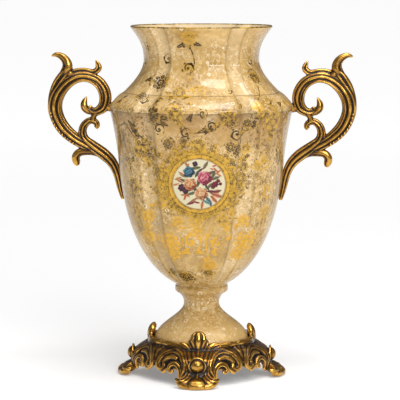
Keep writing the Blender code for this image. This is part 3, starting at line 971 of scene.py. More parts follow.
ROSETTES = tuple(Motif(*row) for row in (
    (-7.4, 437, 8, 0.9), (-13.2, 370, 8.5, 0.7, 20), (-33.5, 381, 9.5, 0.3), (-27.3, 385, 5, 0.9),
    (54.1, 386, 8, 0.55), (40.3, 352, 5, 0.95), (-42.3, 365, 5, 0.5), (-27.2, 343, 9, 0.3), (-12.5, 345, 9, 0.6),
    (19.8, 339, 9.5, 0.5), (50.8, 335, 12, 0.8), (51.2, 319, 8, 0.65), (33.1, 332, 6, 0.45), (-37.0, 300, 12, 0.5),
    (-32.8, 288, 7, 0.5), (-25.3, 294, 4.5, 0.55), (26.9, 300, 6.5, 0.2), (33.6, 301, 6, 0.75),
    (-47.5, 252, 10, 0.4), (-49.8, 239, 5, 0.45), (64.8, 288, 6, 0.45), (-55.1, 314, 6, 0.4), (1.2, 306, 8.5, 0.65),
    (-7.8, 309, 5, 0.25), (11.4, 302, 5, 0.6), (-13.8, 299, 4.5, 0.5), (-22.5, 274, 6.5, 0.6), (-25.8, 258, 7, 0.7),
    (-24.5, 241, 7, 0.65), (-17.4, 287, 5, 0.4), (-19.2, 230, 5, 0.7), (28.6, 265, 8, 0.35), (27.1, 248, 8, 0.6),
    (22.8, 281, 6, 0.35), (24.9, 233, 5.5, 0.6), (19.3, 291, 4.5, 0.45), (-14.4, 210, 6, 0.85), (-0.7, 212, 8, 0.7),
    (-0.1, 198, 5.5, 0.85), (18.6, 212, 7, 0.6), (36.1, 210, 6.5, 0.9), (26.2, 221, 5, 0.7), (-23.5, 181, 12, 1.0),
    (-22.8, 168, 9, 1.0), (41.6, 179, 12, 0.9), (37.6, 166, 8, 0.95), (12.3, 152, 7.5, 0.95), (11.4, 141, 6, 0.35),
    (-17.8, 134, 9, 0.15), (-33.2, 142, 5.5, 0.35), (-48.1, 217, 8, 0.6), (-41.5, 202, 5, 0.8), (-46.0, 181, 6, 0.6),
    (-44.3, 164, 5, 0.7), (55.6, 206, 7, 0.6), (59.0, 220, 6, 0.55), (57.0, 178, 6, 0.65), (58.2, 157, 5, 0.7),
    (-75.0, 300, 8, 0.5), (-80.0, 340, 8, 0.6), (78.0, 330, 8, 0.6), (-72.0, 215, 8, 0.6), (80.0, 225, 8, 0.7),
    (76.0, 170, 8, 0.8), (-70.0, 170, 8, 0.7), (-28.2, 297, 5, 0.5), (-33.8, 284, 6, 0.55), (-49.0, 219, 9, 0.6),
    (-38.8, 215, 7, 0.85), (-43.5, 188, 8, 0.8), (-55.8, 313, 7, 0.35), (-40.8, 365, 6, 0.3), (39.2, 354, 5, 0.95),
    (64.5, 286, 9, 0.4), (55.2, 218, 9, 0.75), (31.6, 264, 7, 0.4), (33.2, 278, 6, 0.45), (30.6, 250, 7, 0.4),
    (-27.4, 273, 6, 0.4), (-30.0, 249, 6, 0.5), (-28.0, 231, 6, 0.6), (-18.2, 308, 6, 0.35), (22.0, 304, 6, 0.3),
    (-65.2, 231, 6, 0.5), (-73.5, 166, 6, 0.6), (58.5, 192, 6, 0.7),
))

SCROLLS = tuple(Motif(*row) for row in (
    (-9.3, 399, 6, 0.4, 200), (-54.3, 425, 4.5, 0.5), (-62.2, 407, 4, 0.4, 90, -1), (56.3, 407, 4.5, 0.6),
    (0.7, 373, 5.5, 0.8, 30, -1), (48.8, 360, 6.5, 0.75, 60), (-23.1, 326, 5.5, 0.2, 250),
    (4.3, 346, 4.5, 0.15, 120, -1), (-6.3, 321, 5.5, 0.3, 300), (9.2, 330, 5.5, 0.15, 180),
    (25.4, 320, 6, 0.15, 60, -1), (54.2, 247, 8.5, 0.85, 60, -1), (48.2, 289, 6, 0.85, 20),
    (-51.0, 278, 5, 0.5, 100), (-4.6, 184, 9.5, 1.0, 240), (16.5, 180, 5.5, 1.0, 30, -1), (7.0, 192, 4, 0.95, 90),
    (-11.7, 202, 4.5, 0.9, 0, -1), (23.1, 199, 3.5, 0.9), (47.5, 194, 4, 0.95), (-63.4, 213, 4, 0.6),
    (80.0, 193, 5, 0.7), (-50.5, 192, 4, 0.6, 0, -1), (70.0, 262, 7, 0.7), (-72.0, 262, 6, 0.5, 90, -1),
    (-53.0, 284, 6, 0.3, 100), (-37.5, 361, 5, 0.3, 40), (36.5, 190, 5, 0.95, 60), (-27.5, 172, 4, 0.9, 200),
    (-31.0, 410, 5, 0.3, 20), (24.0, 372, 4, 0.6, 70),
))

LEAVES = tuple(Motif(*row) for row in (
    (-7.5, 365, 6, 0.75, 20), (-15.1, 357, 5, 0.7, 200), (-4.2, 358, 4, 0.6, 340), (-21.4, 369, 4.5, 0.7, 150),
    (-24.9, 361, 5, 0.4, 230), (-45.9, 384, 5, 0.3, 200), (-19.8, 340, 6, 0.3, 350), (-19.6, 333, 5, 0.4, 330),
    (-9.8, 331, 5, 0.5, 280), (3.7, 324, 5, 0.2, 200), (7.4, 325, 6, 0.1, 10), (14.0, 333, 5, 0.5, 30),
    (29.8, 323, 5, 0.5, 220), (42.5, 343, 5, 0.7, 60), (-30.3, 277, 5, 0.4, 250), (-46.5, 285, 5, 0.4, 200),
    (31.9, 291, 6, 0.7, 60), (42.6, 281, 6, 0.8, 340), (47.0, 286, 5, 0.8, 40), (-11.6, 170, 6, 1.0, 200),
    (2.0, 170, 5, 1.0, 330), (13.7, 186, 5, 1.0, 60), (14.8, 169, 5, 1.0, 300), (6.8, 161, 4, 0.95, 120),
    (21.2, 205, 7, 0.7, 170), (33.0, 204, 6, 0.9, 20), (26.4, 190, 5, 0.95, 80), (44.3, 191, 6, 0.95, 60),
    (53.3, 188, 5, 0.8, 30), (-7.2, 427, 4, 0.1, 260), (-0.7, 429, 5, 0.2, 340), (-15.4, 427, 5, 0.15, 200),
    (-48.8, 205, 5, 0.6, 120), (-59.8, 232, 5, 0.5, 250), (68.7, 231, 5, 0.6, 60), (73.9, 269, 5, 0.5, 90),
    (-75.4, 183, 5, 0.6, 70), (66.9, 189, 5, 0.7, 100), (-34.2, 229, 5, 0.8, 40), (-43.2, 330, 6, 0.2, 130),
    (-40.2, 320, 6, 0.2, 300), (-59.8, 357, 5, 0.25, 200), (-56.5, 363, 4, 0.3, 30), (59.3, 355, 5, 0.5, 20),
    (66.8, 355, 4, 0.4, 200), (35.5, 327, 5, 0.3, 220), (37.5, 333, 5, 0.3, 60), (39.2, 339, 4, 0.4, 330),
    (34.8, 290, 5, 0.3, 250), (-17.2, 363, 6, 0.75, 250), (-3.5, 341, 5, 0.2, 60), (28.5, 355, 4, 0.5, 30),
    (-11.0, 440, 5, 0.9, 120), (-3.6, 440, 5, 0.9, 60),
))

STEMS = tuple(Stem(*row) for row in (
    ((-7.3, 424), (-3.7, 403), 0.15, 0.1), ((-3.7, 403), (-6.9, 390), -0.2, 0.6),
    ((-5.1, 390), (-8.0, 376), -0.2, 0.7), ((-6.7, 371), (4.6, 378), 0.3, 0.8), ((4.6, 378), (4.5, 364), 0.3, 0.9),
    ((51.6, 377), (41.2, 361), 0.2, 0.6), ((-10.9, 336), (-5.6, 324), 0.15, 0.4),
    ((-5.6, 324), (-6.5, 311), 0.3, 0.2), ((-4.4, 322), (6.8, 325), -0.15, 0.5),
    ((6.8, 325), (17.5, 337), -0.1, 0.6), ((27.7, 313), (40.3, 332), 0.15, 0.3),
    ((40.3, 332), (48.7, 336), 0.2, 0.4), ((29.5, 315), (27.5, 302), 0.15, 0.2),
    ((-50.1, 332), (-39.7, 308), 0.1, 0.4), ((-59.4, 323), (-46.4, 330), 0.2, 0.3),
    ((30.6, 290), (47.5, 275), -0.3, 0.7), ((47.5, 275), (55.2, 285), -0.2, 0.8),
    ((-59.8, 268), (-50.9, 254), 0.2, 0.4), ((11.9, 156), (7.1, 189), 0.08, 1.0),
    ((7.1, 189), (11.4, 205), -0.2, 1.0), ((-14.8, 202), (-0.8, 205), -0.1, 0.7),
    ((20.7, 215), (35.7, 212), 0.05, 0.5), ((41.0, 202), (40.4, 189), 0.3, 0.9),
    ((-39.6, 139), (-14.5, 129), -0.1, 0.3), ((-42.8, 228), (-44.3, 188), 0.1, 0.7),
    ((58.1, 213), (56.9, 182), 0.1, 0.6), ((-43.0, 331), (-37.8, 315), -0.15, 0.2),
    ((-53.0, 284), (-47.5, 262), 0.15, 0.4), ((-55.8, 226), (-56.2, 204), 0.1, 0.6),
    ((37.8, 346), (41.0, 339), 0.1, 0.4), ((27.5, 297), (35.0, 279), -0.2, 0.3),
))


class Layer(Enum):
    """The layers of the gold pattern, by the names of their attributes."""

    STEM = "gold_stem"
    LEAF = "gold_leaf"
    SCROLL = "gold_scroll"
    ROSETTE = "gold_rosette"


@dataclass(frozen=True)
class GoldPattern:
    """Notes on the body's mesh where each gold motif lies."""

    form: BodyForm
    limit: float = 1.4
    nowhere: Triple = (9.0, 9.0, 0.0)
    stem_width: float = 3.0
    depth_share: float = 0.3

    def frames(self, motifs: Sequence[Motif]) -> list[np.ndarray]:
        """The matrices that take a place into the motifs' frames.

        Args:
            motifs: the motifs.

        Returns:
            One matrix for each motif.
        """
        found = []
        for motif in motifs:
            size = motif.size * PIXEL * MM
            scale = Matrix.Diagonal((size, size * motif.hand, size, 1.0))
            frame = self.form.place(motif.angle, motif.height * MM, motif.turn) @ scale
            found.append(np.array(frame.inverted())[:3])
        return found

    def stem_frames(self) -> list[np.ndarray]:
        """For each stem the matrix that takes a place into its frame, where it runs from -1 to 1."""
        found = []
        for stem in STEMS:
            start, end = (self.form.place(angle, height * MM).to_translation()
                          for angle, height in (stem.start, stem.end))
            middle = self.form.place((stem.start[0] + stem.end[0]) / 2, (stem.start[1] + stem.end[1]) / 2 * MM)
            out = middle.to_3x3().col[2]
            along = (end - start) - out * (end - start).dot(out)
            half = along.length / 2
            along.normalize()
            frame = Matrix((along, out.cross(along), out)).transposed().to_4x4()
            frame = Matrix.Translation((start + end) / 2) @ frame @ Matrix.Scale(half, 4)
            found.append(np.array(frame.inverted())[:3])
        return found

    def note(self, piece: Thing) -> None:
        """Stores one attribute for each layer on the corners of the faces, and the flutes on the vertices.

        The back half is folded onto the front, so that it carries the same pattern.

        Args:
            piece: the body.
        """
        mesh = piece.data
        centres = Bench.read(mesh.polygons, "center", 3)
        totals = Bench.read(mesh.polygons, "loop_total", kind=np.int64)
        owners = np.repeat(np.arange(len(totals)), totals)
        spots = Bench.read(mesh.vertices, "co", 3)
        places = spots[Bench.read(mesh.loops, "vertex_index", kind=np.int64)]
        fold = np.array([1.0, -1.0, 1.0])
        centres[centres[:, 1] > 0] *= fold
        places[places[:, 1] > 0] *= fold
        # offset across the corner flutes; it places the painted shade and highlight of the lacquer
        aside = np.degrees(np.arctan2(np.abs(spots[:, 0]), np.abs(spots[:, 1])))
        flute = (aside - self.form.flute_angle) / self.form.flute_half
        mesh.attributes.new("flute", "FLOAT", "POINT").data.foreach_set("value", flute.astype(np.float32))
        for layer, motifs in ((Layer.ROSETTE, ROSETTES), (Layer.SCROLL, SCROLLS), (Layer.LEAF, LEAVES)):
            tones = np.array([motif.tone for motif in motifs])
            self.store(mesh, layer, self.frames(motifs), tones, centres, places, owners)
        self.store(mesh, Layer.STEM, self.stem_frames(), np.array([s.tone for s in STEMS]), centres, places, owners)

    def store(self, mesh: bpy.types.Mesh, layer: Layer, frames: list[np.ndarray], tones: np.ndarray,
              centres: np.ndarray, places: np.ndarray, owners: np.ndarray) -> None:
        """Finds each face's nearest motif and stores the places in its frame.

        Args:
            mesh: the body's mesh.
            layer: the layer of the motifs.
            frames: the matrices into the motifs' frames.
            tones: the motifs' tones.
            centres: the middles of the faces.
            places: the corners' places.
            owners: the face of each corner.
        """
        matrices = np.array(frames)
        stems = layer is Layer.STEM
        bulges = np.array([stem.bulge for stem in STEMS]) if stems else tones * 0.0
        halves = np.array([1.0 / np.linalg.norm(m[0, :3]) / MM for m in matrices])
        best = np.full(len(centres), np.inf)
        chosen = np.zeros(len(centres), dtype=np.int64)
        for n, matrix in enumerate(matrices):
            local = centres @ matrix[:, :3].T + matrix[:, 3]
            away = np.linalg.norm(local, axis=1)
            if stems:
                bow = local[:, 1] - bulges[n] * (1.0 - local[:, 0] ** 2)
                past = np.maximum(np.abs(local[:, 0]) - 1.0, 0.0)
                away = np.maximum(np.hypot(bow, past), np.abs(local[:, 2]) * self.depth_share)
                away *= halves[n] / self.stem_width
            closer = away < best
            best[closer] = away[closer]
            chosen[closer] = n
        own = chosen[owners]
        local = np.einsum("nij,nj->ni", matrices[own][:, :, :3], places) + matrices[own][:, :, 3]
        if stems:
            local[:, 1] = (local[:, 1] - bulges[own] * (1.0 - local[:, 0] ** 2)) * halves[own]
        local[:, 2] = tones[own]
        local[best[owners] > self.limit] = self.nowhere
        mesh.attributes.new(layer.value, "FLOAT_VECTOR", "CORNER").data.foreach_set(
            "vector", local.astype(np.float32).ravel())


@dataclass(frozen=True)
class Petalled:
    """A painted blossom of the bouquet: its place and radius in the disc, and its three colours."""

    x: float
    y: float
    size: float
    light: Colour
    middle: Colour
    dark: Colour
    petals: int = 5


@dataclass(frozen=True)
class Sprig:
    """A painted leaf or spray of the bouquet: its place and half length in the disc, its turn and colour."""

    x: float
    y: float
    size: float
    turn: float
    shade: Colour


BERRY = (0.220, 0.006, 0.030), (0.090, 0.003, 0.014), (0.025, 0.000, 0.005)
BLOSSOMS = tuple(Petalled(*row) for row in (
    (-0.63, -0.14, 0.17, (0.075, 0.010, 0.030), (0.040, 0.004, 0.015), (0.012, 0.002, 0.006), 7),
    (-0.50, -0.28, 0.12, (0.090, 0.014, 0.035), (0.045, 0.005, 0.015), (0.012, 0.002, 0.006), 7),
    (-0.37, 0.49, 0.23, (0.100, 0.240, 0.290), (0.018, 0.065, 0.110), (0.004, 0.014, 0.030), 6),
    (-0.14, 0.80, 0.11, (0.080, 0.018, 0.050), (0.030, 0.005, 0.020), (0.008, 0.002, 0.008), 4),
    (0.60, 0.00, 0.13, *BERRY, 8),
    (0.71, 0.13, 0.08, *BERRY, 6),
    (0.52, -0.10, 0.09, *BERRY, 6),
    (0.79, 0.01, 0.07, *BERRY, 6),
    (0.08, -0.38, 0.27, (0.660, 0.440, 0.250), (0.480, 0.220, 0.080), (0.170, 0.050, 0.014), 6),
    (-0.33, -0.01, 0.27, (0.640, 0.380, 0.190), (0.420, 0.130, 0.035), (0.130, 0.028, 0.008), 5),
    (0.21, 0.25, 0.30, (0.640, 0.260, 0.270), (0.300, 0.014, 0.050), (0.090, 0.003, 0.012), 5),
))

SPRIGS = tuple(Sprig(*row) for row in (
    (-0.12, 0.64, 0.22, 10, (0.08, 0.075, 0.02)), (-0.06, 0.42, 0.2, 60, (0.035, 0.04, 0.012)),
    (0.25, 0.74, 0.2, 60, (0.11, 0.08, 0.025)), (0.06, 0.56, 0.14, 40, (0.04, 0.02, 0.02)),
    (0.54, 0.38, 0.2, 70, (0.075, 0.06, 0.02)), (0.46, 0.46, 0.18, 20, (0.06, 0.05, 0.015)),
    (0.62, 0.24, 0.2, 200, (0.08, 0.075, 0.025)), (0.42, -0.04, 0.2, 220, (0.07, 0.075, 0.02)),
    (0.3, -0.12, 0.18, 300, (0.04, 0.045, 0.014)), (-0.02, 0.08, 0.2, 80, (0.028, 0.034, 0.012)),
    (-0.14, -0.2, 0.2, 120, (0.04, 0.03, 0.012)), (-0.28, -0.36, 0.2, 200, (0.07, 0.075, 0.028)),
    (-0.56, 0.34, 0.2, 160, (0.08, 0.075, 0.025)), (-0.56, 0.14, 0.2, 160, (0.08, 0.07, 0.022)),
    (0.36, -0.66, 0.24, 300, (0.045, 0.11, 0.11)), (0.27, -0.7, 0.18, 330, (0.08, 0.16, 0.15)),
    (0.42, -0.74, 0.18, 280, (0.05, 0.1, 0.11)), (-0.52, -0.5, 0.16, 250, (0.33, 0.085, 0.02)),
    (-0.58, -0.42, 0.12, 190, (0.3, 0.08, 0.02)), (-0.44, -0.44, 0.12, 320, (0.3, 0.08, 0.02)),
    (-0.3, -0.74, 0.2, 200, (0.13, 0.014, 0.01)), (-0.08, -0.72, 0.13, 350, (0.2, 0.005, 0.018)),
    (-0.2, -0.62, 0.16, 30, (0.25, 0.1, 0.03)), (0.11, -0.82, 0.18, 260, (0.34, 0.1, 0.025)),
    (0.62, -0.3, 0.24, 15, (0.15, 0.028, 0.014)), (0.66, -0.44, 0.26, 340, (0.3, 0.09, 0.03)),
    (0.56, -0.6, 0.22, 310, (0.31, 0.085, 0.025)), (0.44, -0.28, 0.18, 0, (0.09, 0.012, 0.01)),
    (0.72, 0.48, 0.14, 40, (0.36, 0.11, 0.03)), (0.62, 0.56, 0.14, 130, (0.31, 0.09, 0.025)),
    (0.74, 0.36, 0.12, 330, (0.35, 0.11, 0.035)), (0.58, 0.72, 0.1, 10, (0.32, 0.018, 0.018)),
    (0.48, 0.6, 0.09, 350, (0.32, 0.018, 0.024)), (-0.46, 0.76, 0.16, 120, (0.28, 0.095, 0.022)),
    (-0.42, 0.72, 0.12, 60, (0.3, 0.1, 0.03)), (-0.66, 0.42, 0.14, 150, (0.34, 0.13, 0.045)),
    (-0.78, 0.22, 0.16, 200, (0.35, 0.15, 0.05)), (-0.72, 0.12, 0.16, 150, (0.32, 0.125, 0.045)),
    (-0.86, -0.02, 0.14, 200, (0.38, 0.15, 0.055)),
))


# Finishes


@dataclass(frozen=True)
class LacquerFinish:
    """The glossy cream ground with gold leaf flowers and the painted flower medallion."""

    ground_light: Colour = (0.73, 0.505, 0.222)
    ground: Colour = (0.46, 0.282, 0.082)
    ground_dark: Colour = (0.23, 0.118, 0.022)
    # colour of the painted shade
    shade_tint: Colour = (0.085, 0.048, 0.013)
    stain: Colour = (0.33, 0.165, 0.045)
    # pale flecks; also the painted highlight in the flutes
    fleck: Colour = (0.93, 0.80, 0.55)
    ochre: Colour = (0.36, 0.185, 0.035)
    gold_dark: Colour = (0.042, 0.020, 0.0008)
    gold_brown: Colour = (0.20, 0.105, 0.004)
    gold: Colour = (0.46, 0.27, 0.025)
    gold_bright: Colour = (0.74, 0.385, 0.024)
    disc: Colour = (0.66, 0.59, 0.385)
    disc_outline: Colour = (0.35, 0.22, 0.08)
    disc_radius: float = 32.2 * MM
    disc_stretch: float = 1.03
    medallion: Pair = (1.7, 257.8)
    rim_line: float = 1.5 * MM
    rim_tone: float = 0.36
    cloud_scale: float = 22.0
    grain_scale: float = 170.0
    ring_scale: float = 62.0
    dot_scale: float = 150.0
    worm_scale: float = 84.0
    crackle_scale: float = 170.0
    curl_scale: float = 165.0
    glow_scale: float = 210.0
    stain_scale: float = 26.0
    net_across: float = 62.0
    net_along: float = 36.0
    panel_side: float = 60 * MM
    panel_low: float = 185 * MM
    panel_high: float = 350 * MM
    shaded_height: float = 290 * MM
    shading: float = 0.22
    socle_top: float = 72 * MM
    crackle_top: float = 106 * MM
    foil_metal: float = 0.30
    roughness: float = 0.40
    coat: float = 0.6
    coat_roughness: float = 0.06
    gloss: float = 0.08
    relief_depth: float = 0.4 * MM

    def make(self, form: BodyForm) -> Material:
        """Draws the whole finish.

        Args:
            form: the body that the motifs lie on.

        Returns:
            The material.
        """
        desk = Desk("cream_lacquer")
        point = desk.point
        x, y, z = desk.split(point)
        folded = desk.vector(x, abs(y) * -1.0, z)
        colour, relief = self.ground_colour(desk, point, z)
        gold, tone = self.gold_work(desk, point)
        centre = form.place(self.medallion[0], self.medallion[1] * MM)
        centre @= Matrix.Diagonal((self.disc_stretch, 1.0, 1.0, 1.0))
        disc = desk.local(folded, centre, self.disc_radius)
        px, py, _ = desk.split(disc)
        flat = desk.vector(px, py, 0.0)
        reach = desk.length(flat)
        lace, lace_tone = self.lace(desk, px, py, reach)
        tone = tone - z.above(self.shaded_height, 40 * MM) * self.shading
        gold = gold.most(lace)
        tone = desk.between(lace, tone, lace_tone)
        picture = self.bouquet(desk, flat, reach, point)
        inner = reach.below(1.0, 0.03)
        rim_line = z.above(form.rim - self.rim_line, 0.5 * MM)
        gold = gold.most(rim_line)
        tone = desk.between(rim_line, tone, self.rim_tone)
        # painted shade and highlight along the mouldings, and stains
        colour = self.painted_light_and_stains(desk, colour, z, form)
        clouds = desk.noise(point, self.glow_scale, 2.0, 0.7)
        glow = tone.times_plus(0.95, clouds.times_plus(2.3, -1.10) * tone.times_plus(-0.9, 1.15), clamp=True)
        leaf = desk.ramp(glow, [(0.0, self.gold_dark), (0.34, self.gold_brown), (0.55, self.gold),
                                (1.0, self.gold_bright)])
        colour = desk.mix(gold, colour, leaf)
        colour = desk.mix(inner, colour, picture)
        foil = gold * (1.0 - inner)
        desk.shader(Base_Color=colour, Metallic=foil * self.foil_metal,
                    Roughness=foil.times_plus(-0.06, self.roughness), Coat_Weight=self.coat,
                    Coat_Roughness=self.coat_roughness, Specular_IOR_Level=self.gloss,
                    Normal=desk.bump(relief, 0.35, self.relief_depth))
        return desk.material

    def painted_light_and_stains(self, desk: Desk, colour: Any, z: Value, form: BodyForm) -> Socket:
        """Paints shade into the glaze and a highlight into the flutes, and lightens it on the socle.

        The painted shade lies along the flute edges, where some glaze also gathers, on the line above the rolled band,
        and as a painted shadow on the shoulder edge and under it.

        Args:
            desk: the desk.
            colour: the ground so far.
            z: the height.
            form: the body.

        Returns:
            The ground with its painted shade and highlight.
        """
        off = abs(desk.value(desk.noted("flute", "Fac")))
        # painted highlight inside the flute channels
        inside = off.below(0.86, 0.16) * z.above(form.foot + 8 * MM, 12 * MM)
        socle = z.below(self.socle_top, 24 * MM)
        # painted shade along the flute edges, partly gathered glaze
        crease_shade = abs(off - 1.0).below(0.10, 0.18) * z.above(form.foot + 4 * MM, 8 * MM)
        # painted shade in the crease above the rolled band
        line = abs(z - form.band).below(0.45 * MM, 0.7 * MM)
        # painted shadow line on the shoulder edge
        edge = abs(z - (form.shoulder - 1.2 * MM)).below(0.6 * MM, 0.8 * MM)
        side = z.below(form.shoulder - 1 * MM, 1 * MM)
        # painted shade under the shoulder edge, where the side faces down
        under = side * z.above(form.shoulder - 9 * MM, 14 * MM)
        stained = side * z.above(form.shoulder - 42 * MM, 60 * MM)
        blots = desk.noise(desk.point, self.stain_scale, 3.0).above(0.46, 0.22)
        # the painted shade lines together
        painted_shade = (crease_shade * 0.32).most(line * 0.55).most(edge * 0.50)
        # painted highlight, lighter socle, stains, then the painted shade
        return desk.layered(
            colour, (inside * 0.14, self.fleck), (socle * 0.45, self.ground_light),
            (stained * blots * 0.62, self.stain), (under * 0.32, self.shade_tint), (painted_shade, self.shade_tint))

    def ground_colour(self, desk: Desk, point: Any, z: Value) -> tuple[Socket, Value]:
        """The mottled, flecked ground.

        Args:
            desk: the desk.
            point: the place on the body.
            z: its height.

        Returns:
            The colour and the height of its fine relief.
        """
        cloud = desk.noise(point, self.cloud_scale, 5.0, 0.6)
        fine = desk.noise(point, self.grain_scale, 4.0, 0.6)
        shade = cloud.times_plus(0.72, fine * 0.34)
        colour = desk.ramp(shade, [(0.30, self.ground_dark), (0.48, self.ground), (0.70, self.ground_light)])
        far, own = desk.cells(point, self.ring_scale)
        kept = own.above(0.70, 0.02)
        ring = abs(far - 0.15).below(0.04, 0.04) * kept
        eye = far.below(0.06, 0.04) * kept
        small, small_own = desk.cells(point, self.dot_scale)
        dots = small.below(0.17, 0.10) * small_own.above(0.55, 0.03)
        worm = abs(desk.noise(point, self.worm_scale, 3.0, 0.6) - 0.5)
        swirled = desk.noise(point, 24.0, 2.0).above(0.46, 0.10)
        shores = abs(worm - 0.05).below(0.012, 0.02) * swirled
        worms = worm.below(0.026, 0.03) * swirled
        outer = abs(far - 0.21).below(0.02, 0.04) * kept
        low = z.below(self.crackle_top, 10 * MM)
        crackle, crackle_own = desk.cells(desk.warped(point, 120.0, 2.0 * MM), self.crackle_scale)
        kept = crackle_own.above(0.22, 0.05) * low * desk.noise(point, 38.0, 2.0).above(0.46, 0.10)
        beads = crackle.below(0.30, 0.22) * kept
        outline = abs(crackle - 0.46).below(0.08, 0.08) * kept
        colour = desk.layered(
            colour, (shores * 0.42, self.ochre), (worms * 0.30, self.fleck), (dots * 0.26, self.fleck),
            (ring * 0.62, self.fleck), ((eye * 0.5).most(outer * 0.45), self.ochre),
            (beads * 0.42, self.fleck), (outline * 0.62, self.ochre))
        return colour, fine * 0.25 + ring * 0.5 + beads * 1.6 + worms * 0.5

    @staticmethod
    def painted(desk: Desk, name: str) -> tuple[Value, Value, Value]:
        """The noted place in the nearest motif of a layer, and that motif's tone."""
        return desk.split(desk.noted(name, "Vector"))

    def gold_work(self, desk: Desk, point: Any) -> tuple[Value, Value]:
        """All gold flowers, scrolls, leaves and stems.

        Args:
            desk: the desk.
            point: the place on the body.

        Returns:
            The mask of the gold and its tone.
        """
        across, away, tone = self.painted(desk, Layer.STEM.value)
        gold = abs(away).below(0.74, 0.4) * abs(across).below(1.0, 0.03)
        for layer, draw in ((Layer.LEAF, self.leaf), (Layer.SCROLL, self.scroll), (Layer.ROSETTE, self.rosette)):
            across, up, other = self.painted(desk, layer.value)
            mask, plate, shade = draw(desk, across, up)
            tone = desk.between(plate, tone, shade * 0.45 + other)
            gold = gold * (1.0 - plate) + mask
        near = desk.length(desk.vector(across, up, 0.0))
        swirls = self.curls(desk, point)
        curls = swirls * near.below(1.22, 0.12) * (1.0 - plate)
        tone = desk.between(curls, tone, other)
        gold = gold.most(curls)
        aside, _, z = desk.split(point)
        panel = abs(aside).above(self.panel_side, 16 * MM) * z.above(self.panel_low, 80 * MM)
        panel = panel * z.below(self.panel_high, 8 * MM)
        veil = swirls * panel * (1.0 - gold) * 0.75
        return gold + veil, desk.between(veil, tone, 0.40)

    def curls(self, desk: Desk, point: Any) -> Value:
        """The fine curled filling between the flowers, as broken rings and dots.

        Args:
            desk: the desk.
            point: the place on the body.

        Returns:
            The mask of the filling.
        """
        far, own = desk.cells(desk.warped(point, 260.0, 3.4 * MM), self.curl_scale)
        ring = abs(far - 0.40).below(0.10, 0.05)
        broken = desk.noise(point, 320.0, 1.0).above(0.46, 0.08)
        return (ring * broken).most(far.below(0.15, 0.06) * own.above(0.4, 0.05))

    @staticmethod
    def polar(desk: Desk, across: Value, up: Value) -> tuple[Value, Value]:
        """The distance from the middle of a motif and the angle about it."""
        reach = desk.length(desk.vector(across, up, 0.0))
        return reach, up.maths("ARCTAN2", up, across)

    def rosette(self, desk: Desk, across: Value, up: Value) -> tuple[Value, Value, Value]:
        """A full blossom: two rows of petals about an eye, parted by fine lines of ground.

        Args:
            desk: the desk.
            across: the place across the motif.
            up: the place up it.

        Returns:
            The mask of the gold, of all that the motif covers, and how light it is.
        """
        reach, angle = self.polar(desk, across, up)
        wave = abs((angle * 4.0).cosine())
        inner_wave = abs((angle * 2.5 + 0.7).cosine())
        outer = reach - wave * 0.20
        second = reach - inner_wave * 0.14
        whole = outer.below(0.70, 0.07)
        gaps = abs(second - 0.38).below(0.025, 0.05)
        parting = wave.below(0.16, 0.12) * reach.above(0.46, 0.06)
        veins = abs((angle * 9.0).cosine()).below(0.25, 0.2) * abs(outer - 0.46).below(0.12, 0.06)
        eye = abs(reach - 0.17).below(0.03, 0.05)
        shade = wave * (abs(second - 0.38) * 3.0).least(1.0) - 0.45
        return whole * (1.0 - gaps.most(parting).most(eye).most(veins * 0.8)), outer.below(0.80, 0.05), shade

    def scroll(self, desk: Desk, across: Value, up: Value) -> tuple[Value, Value, Value]:
        """A curled tendril that thickens to a ball in its middle.

        Args:
            desk: the desk.
            across: the place across the motif.
            up: the place up it.

        Returns:
            Its mask, twice, and how light it is.
        """
        reach, angle = self.polar(desk, across, up)
        turn = (angle * (1.0 / math.tau) + reach * 1.15).fraction()
        line = (abs(turn - 0.5) - reach * 0.12).below(0.09, 0.05) * reach.below(0.98, 0.06)
        buds = (angle * 5.0).cosine().above(0.5, 0.3) * abs(reach - 0.98).below(0.10, 0.06)
        mask = line.most(reach.below(0.24, 0.06)).most(buds)
        return mask, mask, up * 0.5

    def leaf(self, desk: Desk, across: Value, up: Value) -> tuple[Value, Value, Value]:
        """A pointed leaf with a midrib and two small leaflets.

        Args:
            desk: not used.
            across: the place across the motif.
            up: the place up it.

        Returns:
            Its mask, twice, and how light it is.
        """
        width = across * across * -0.36 + 0.36
        blade = (abs(up) - width).below(0.0, 0.06) * (1.0 - abs(up).below(0.03, 0.05) * across.below(0.5, 0.1))
        side = (abs(abs(up) - 0.42) + abs(across + 0.5) * 0.6).below(0.22, 0.06)
        mask = blade.most(side)
        return mask, mask, up

    def lace(self, desk: Desk, px: Value, py: Value, reach: Value) -> tuple[Value, Value]:
        """The plain gold ring about the disc, and the scalloped lace outside it.

        Args:
            desk: the desk.
            px: the place across the disc.
            py: the place up it.
            reach: the distance from its middle, 1 at the disc's edge.

        Returns:
            The mask of the gold and its tone.
        """
        angle = py.maths("ARCTAN2", py, px)
        scallop = abs((angle * 9.0).cosine()) * 0.06 + abs((angle * 3.0 + 0.6).cosine()) * 0.07
        edge = (reach - scallop).below(1.30, 0.03)
        ring = reach.below(1.15, 0.02)
        net = (px * self.net_across + py * self.net_along).cosine()
        net = net * (px * self.net_along - py * self.net_across).cosine()
        holes = net.above(0.12, 0.25)
        lines = abs(reach - 1.02).below(0.012, 0.015).most(abs(reach - 1.155).below(0.012, 0.015))
        flat = desk.vector(px, py, 0.0)
        far, _ = desk.cells(desk.warped(flat, 7.0, 0.12), 5.2)
        curl = abs(far - 0.40).below(0.11, 0.06).most(far.below(0.16, 0.06))
        patches = desk.noise(flat, 2.4, 2.0, 0.6)
        halo = (reach - patches * 1.7).below(0.78, 0.10) * py.above(-1.25, 0.2) * curl
        tone = ring.times_plus(0.20, 0.58) - holes * 0.22 - lines * 0.4
        mask = (edge * (1.0 - holes * (1.0 - ring) * 0.18)).most(halo) * reach.above(1.0, 0.01)
        return mask, tone

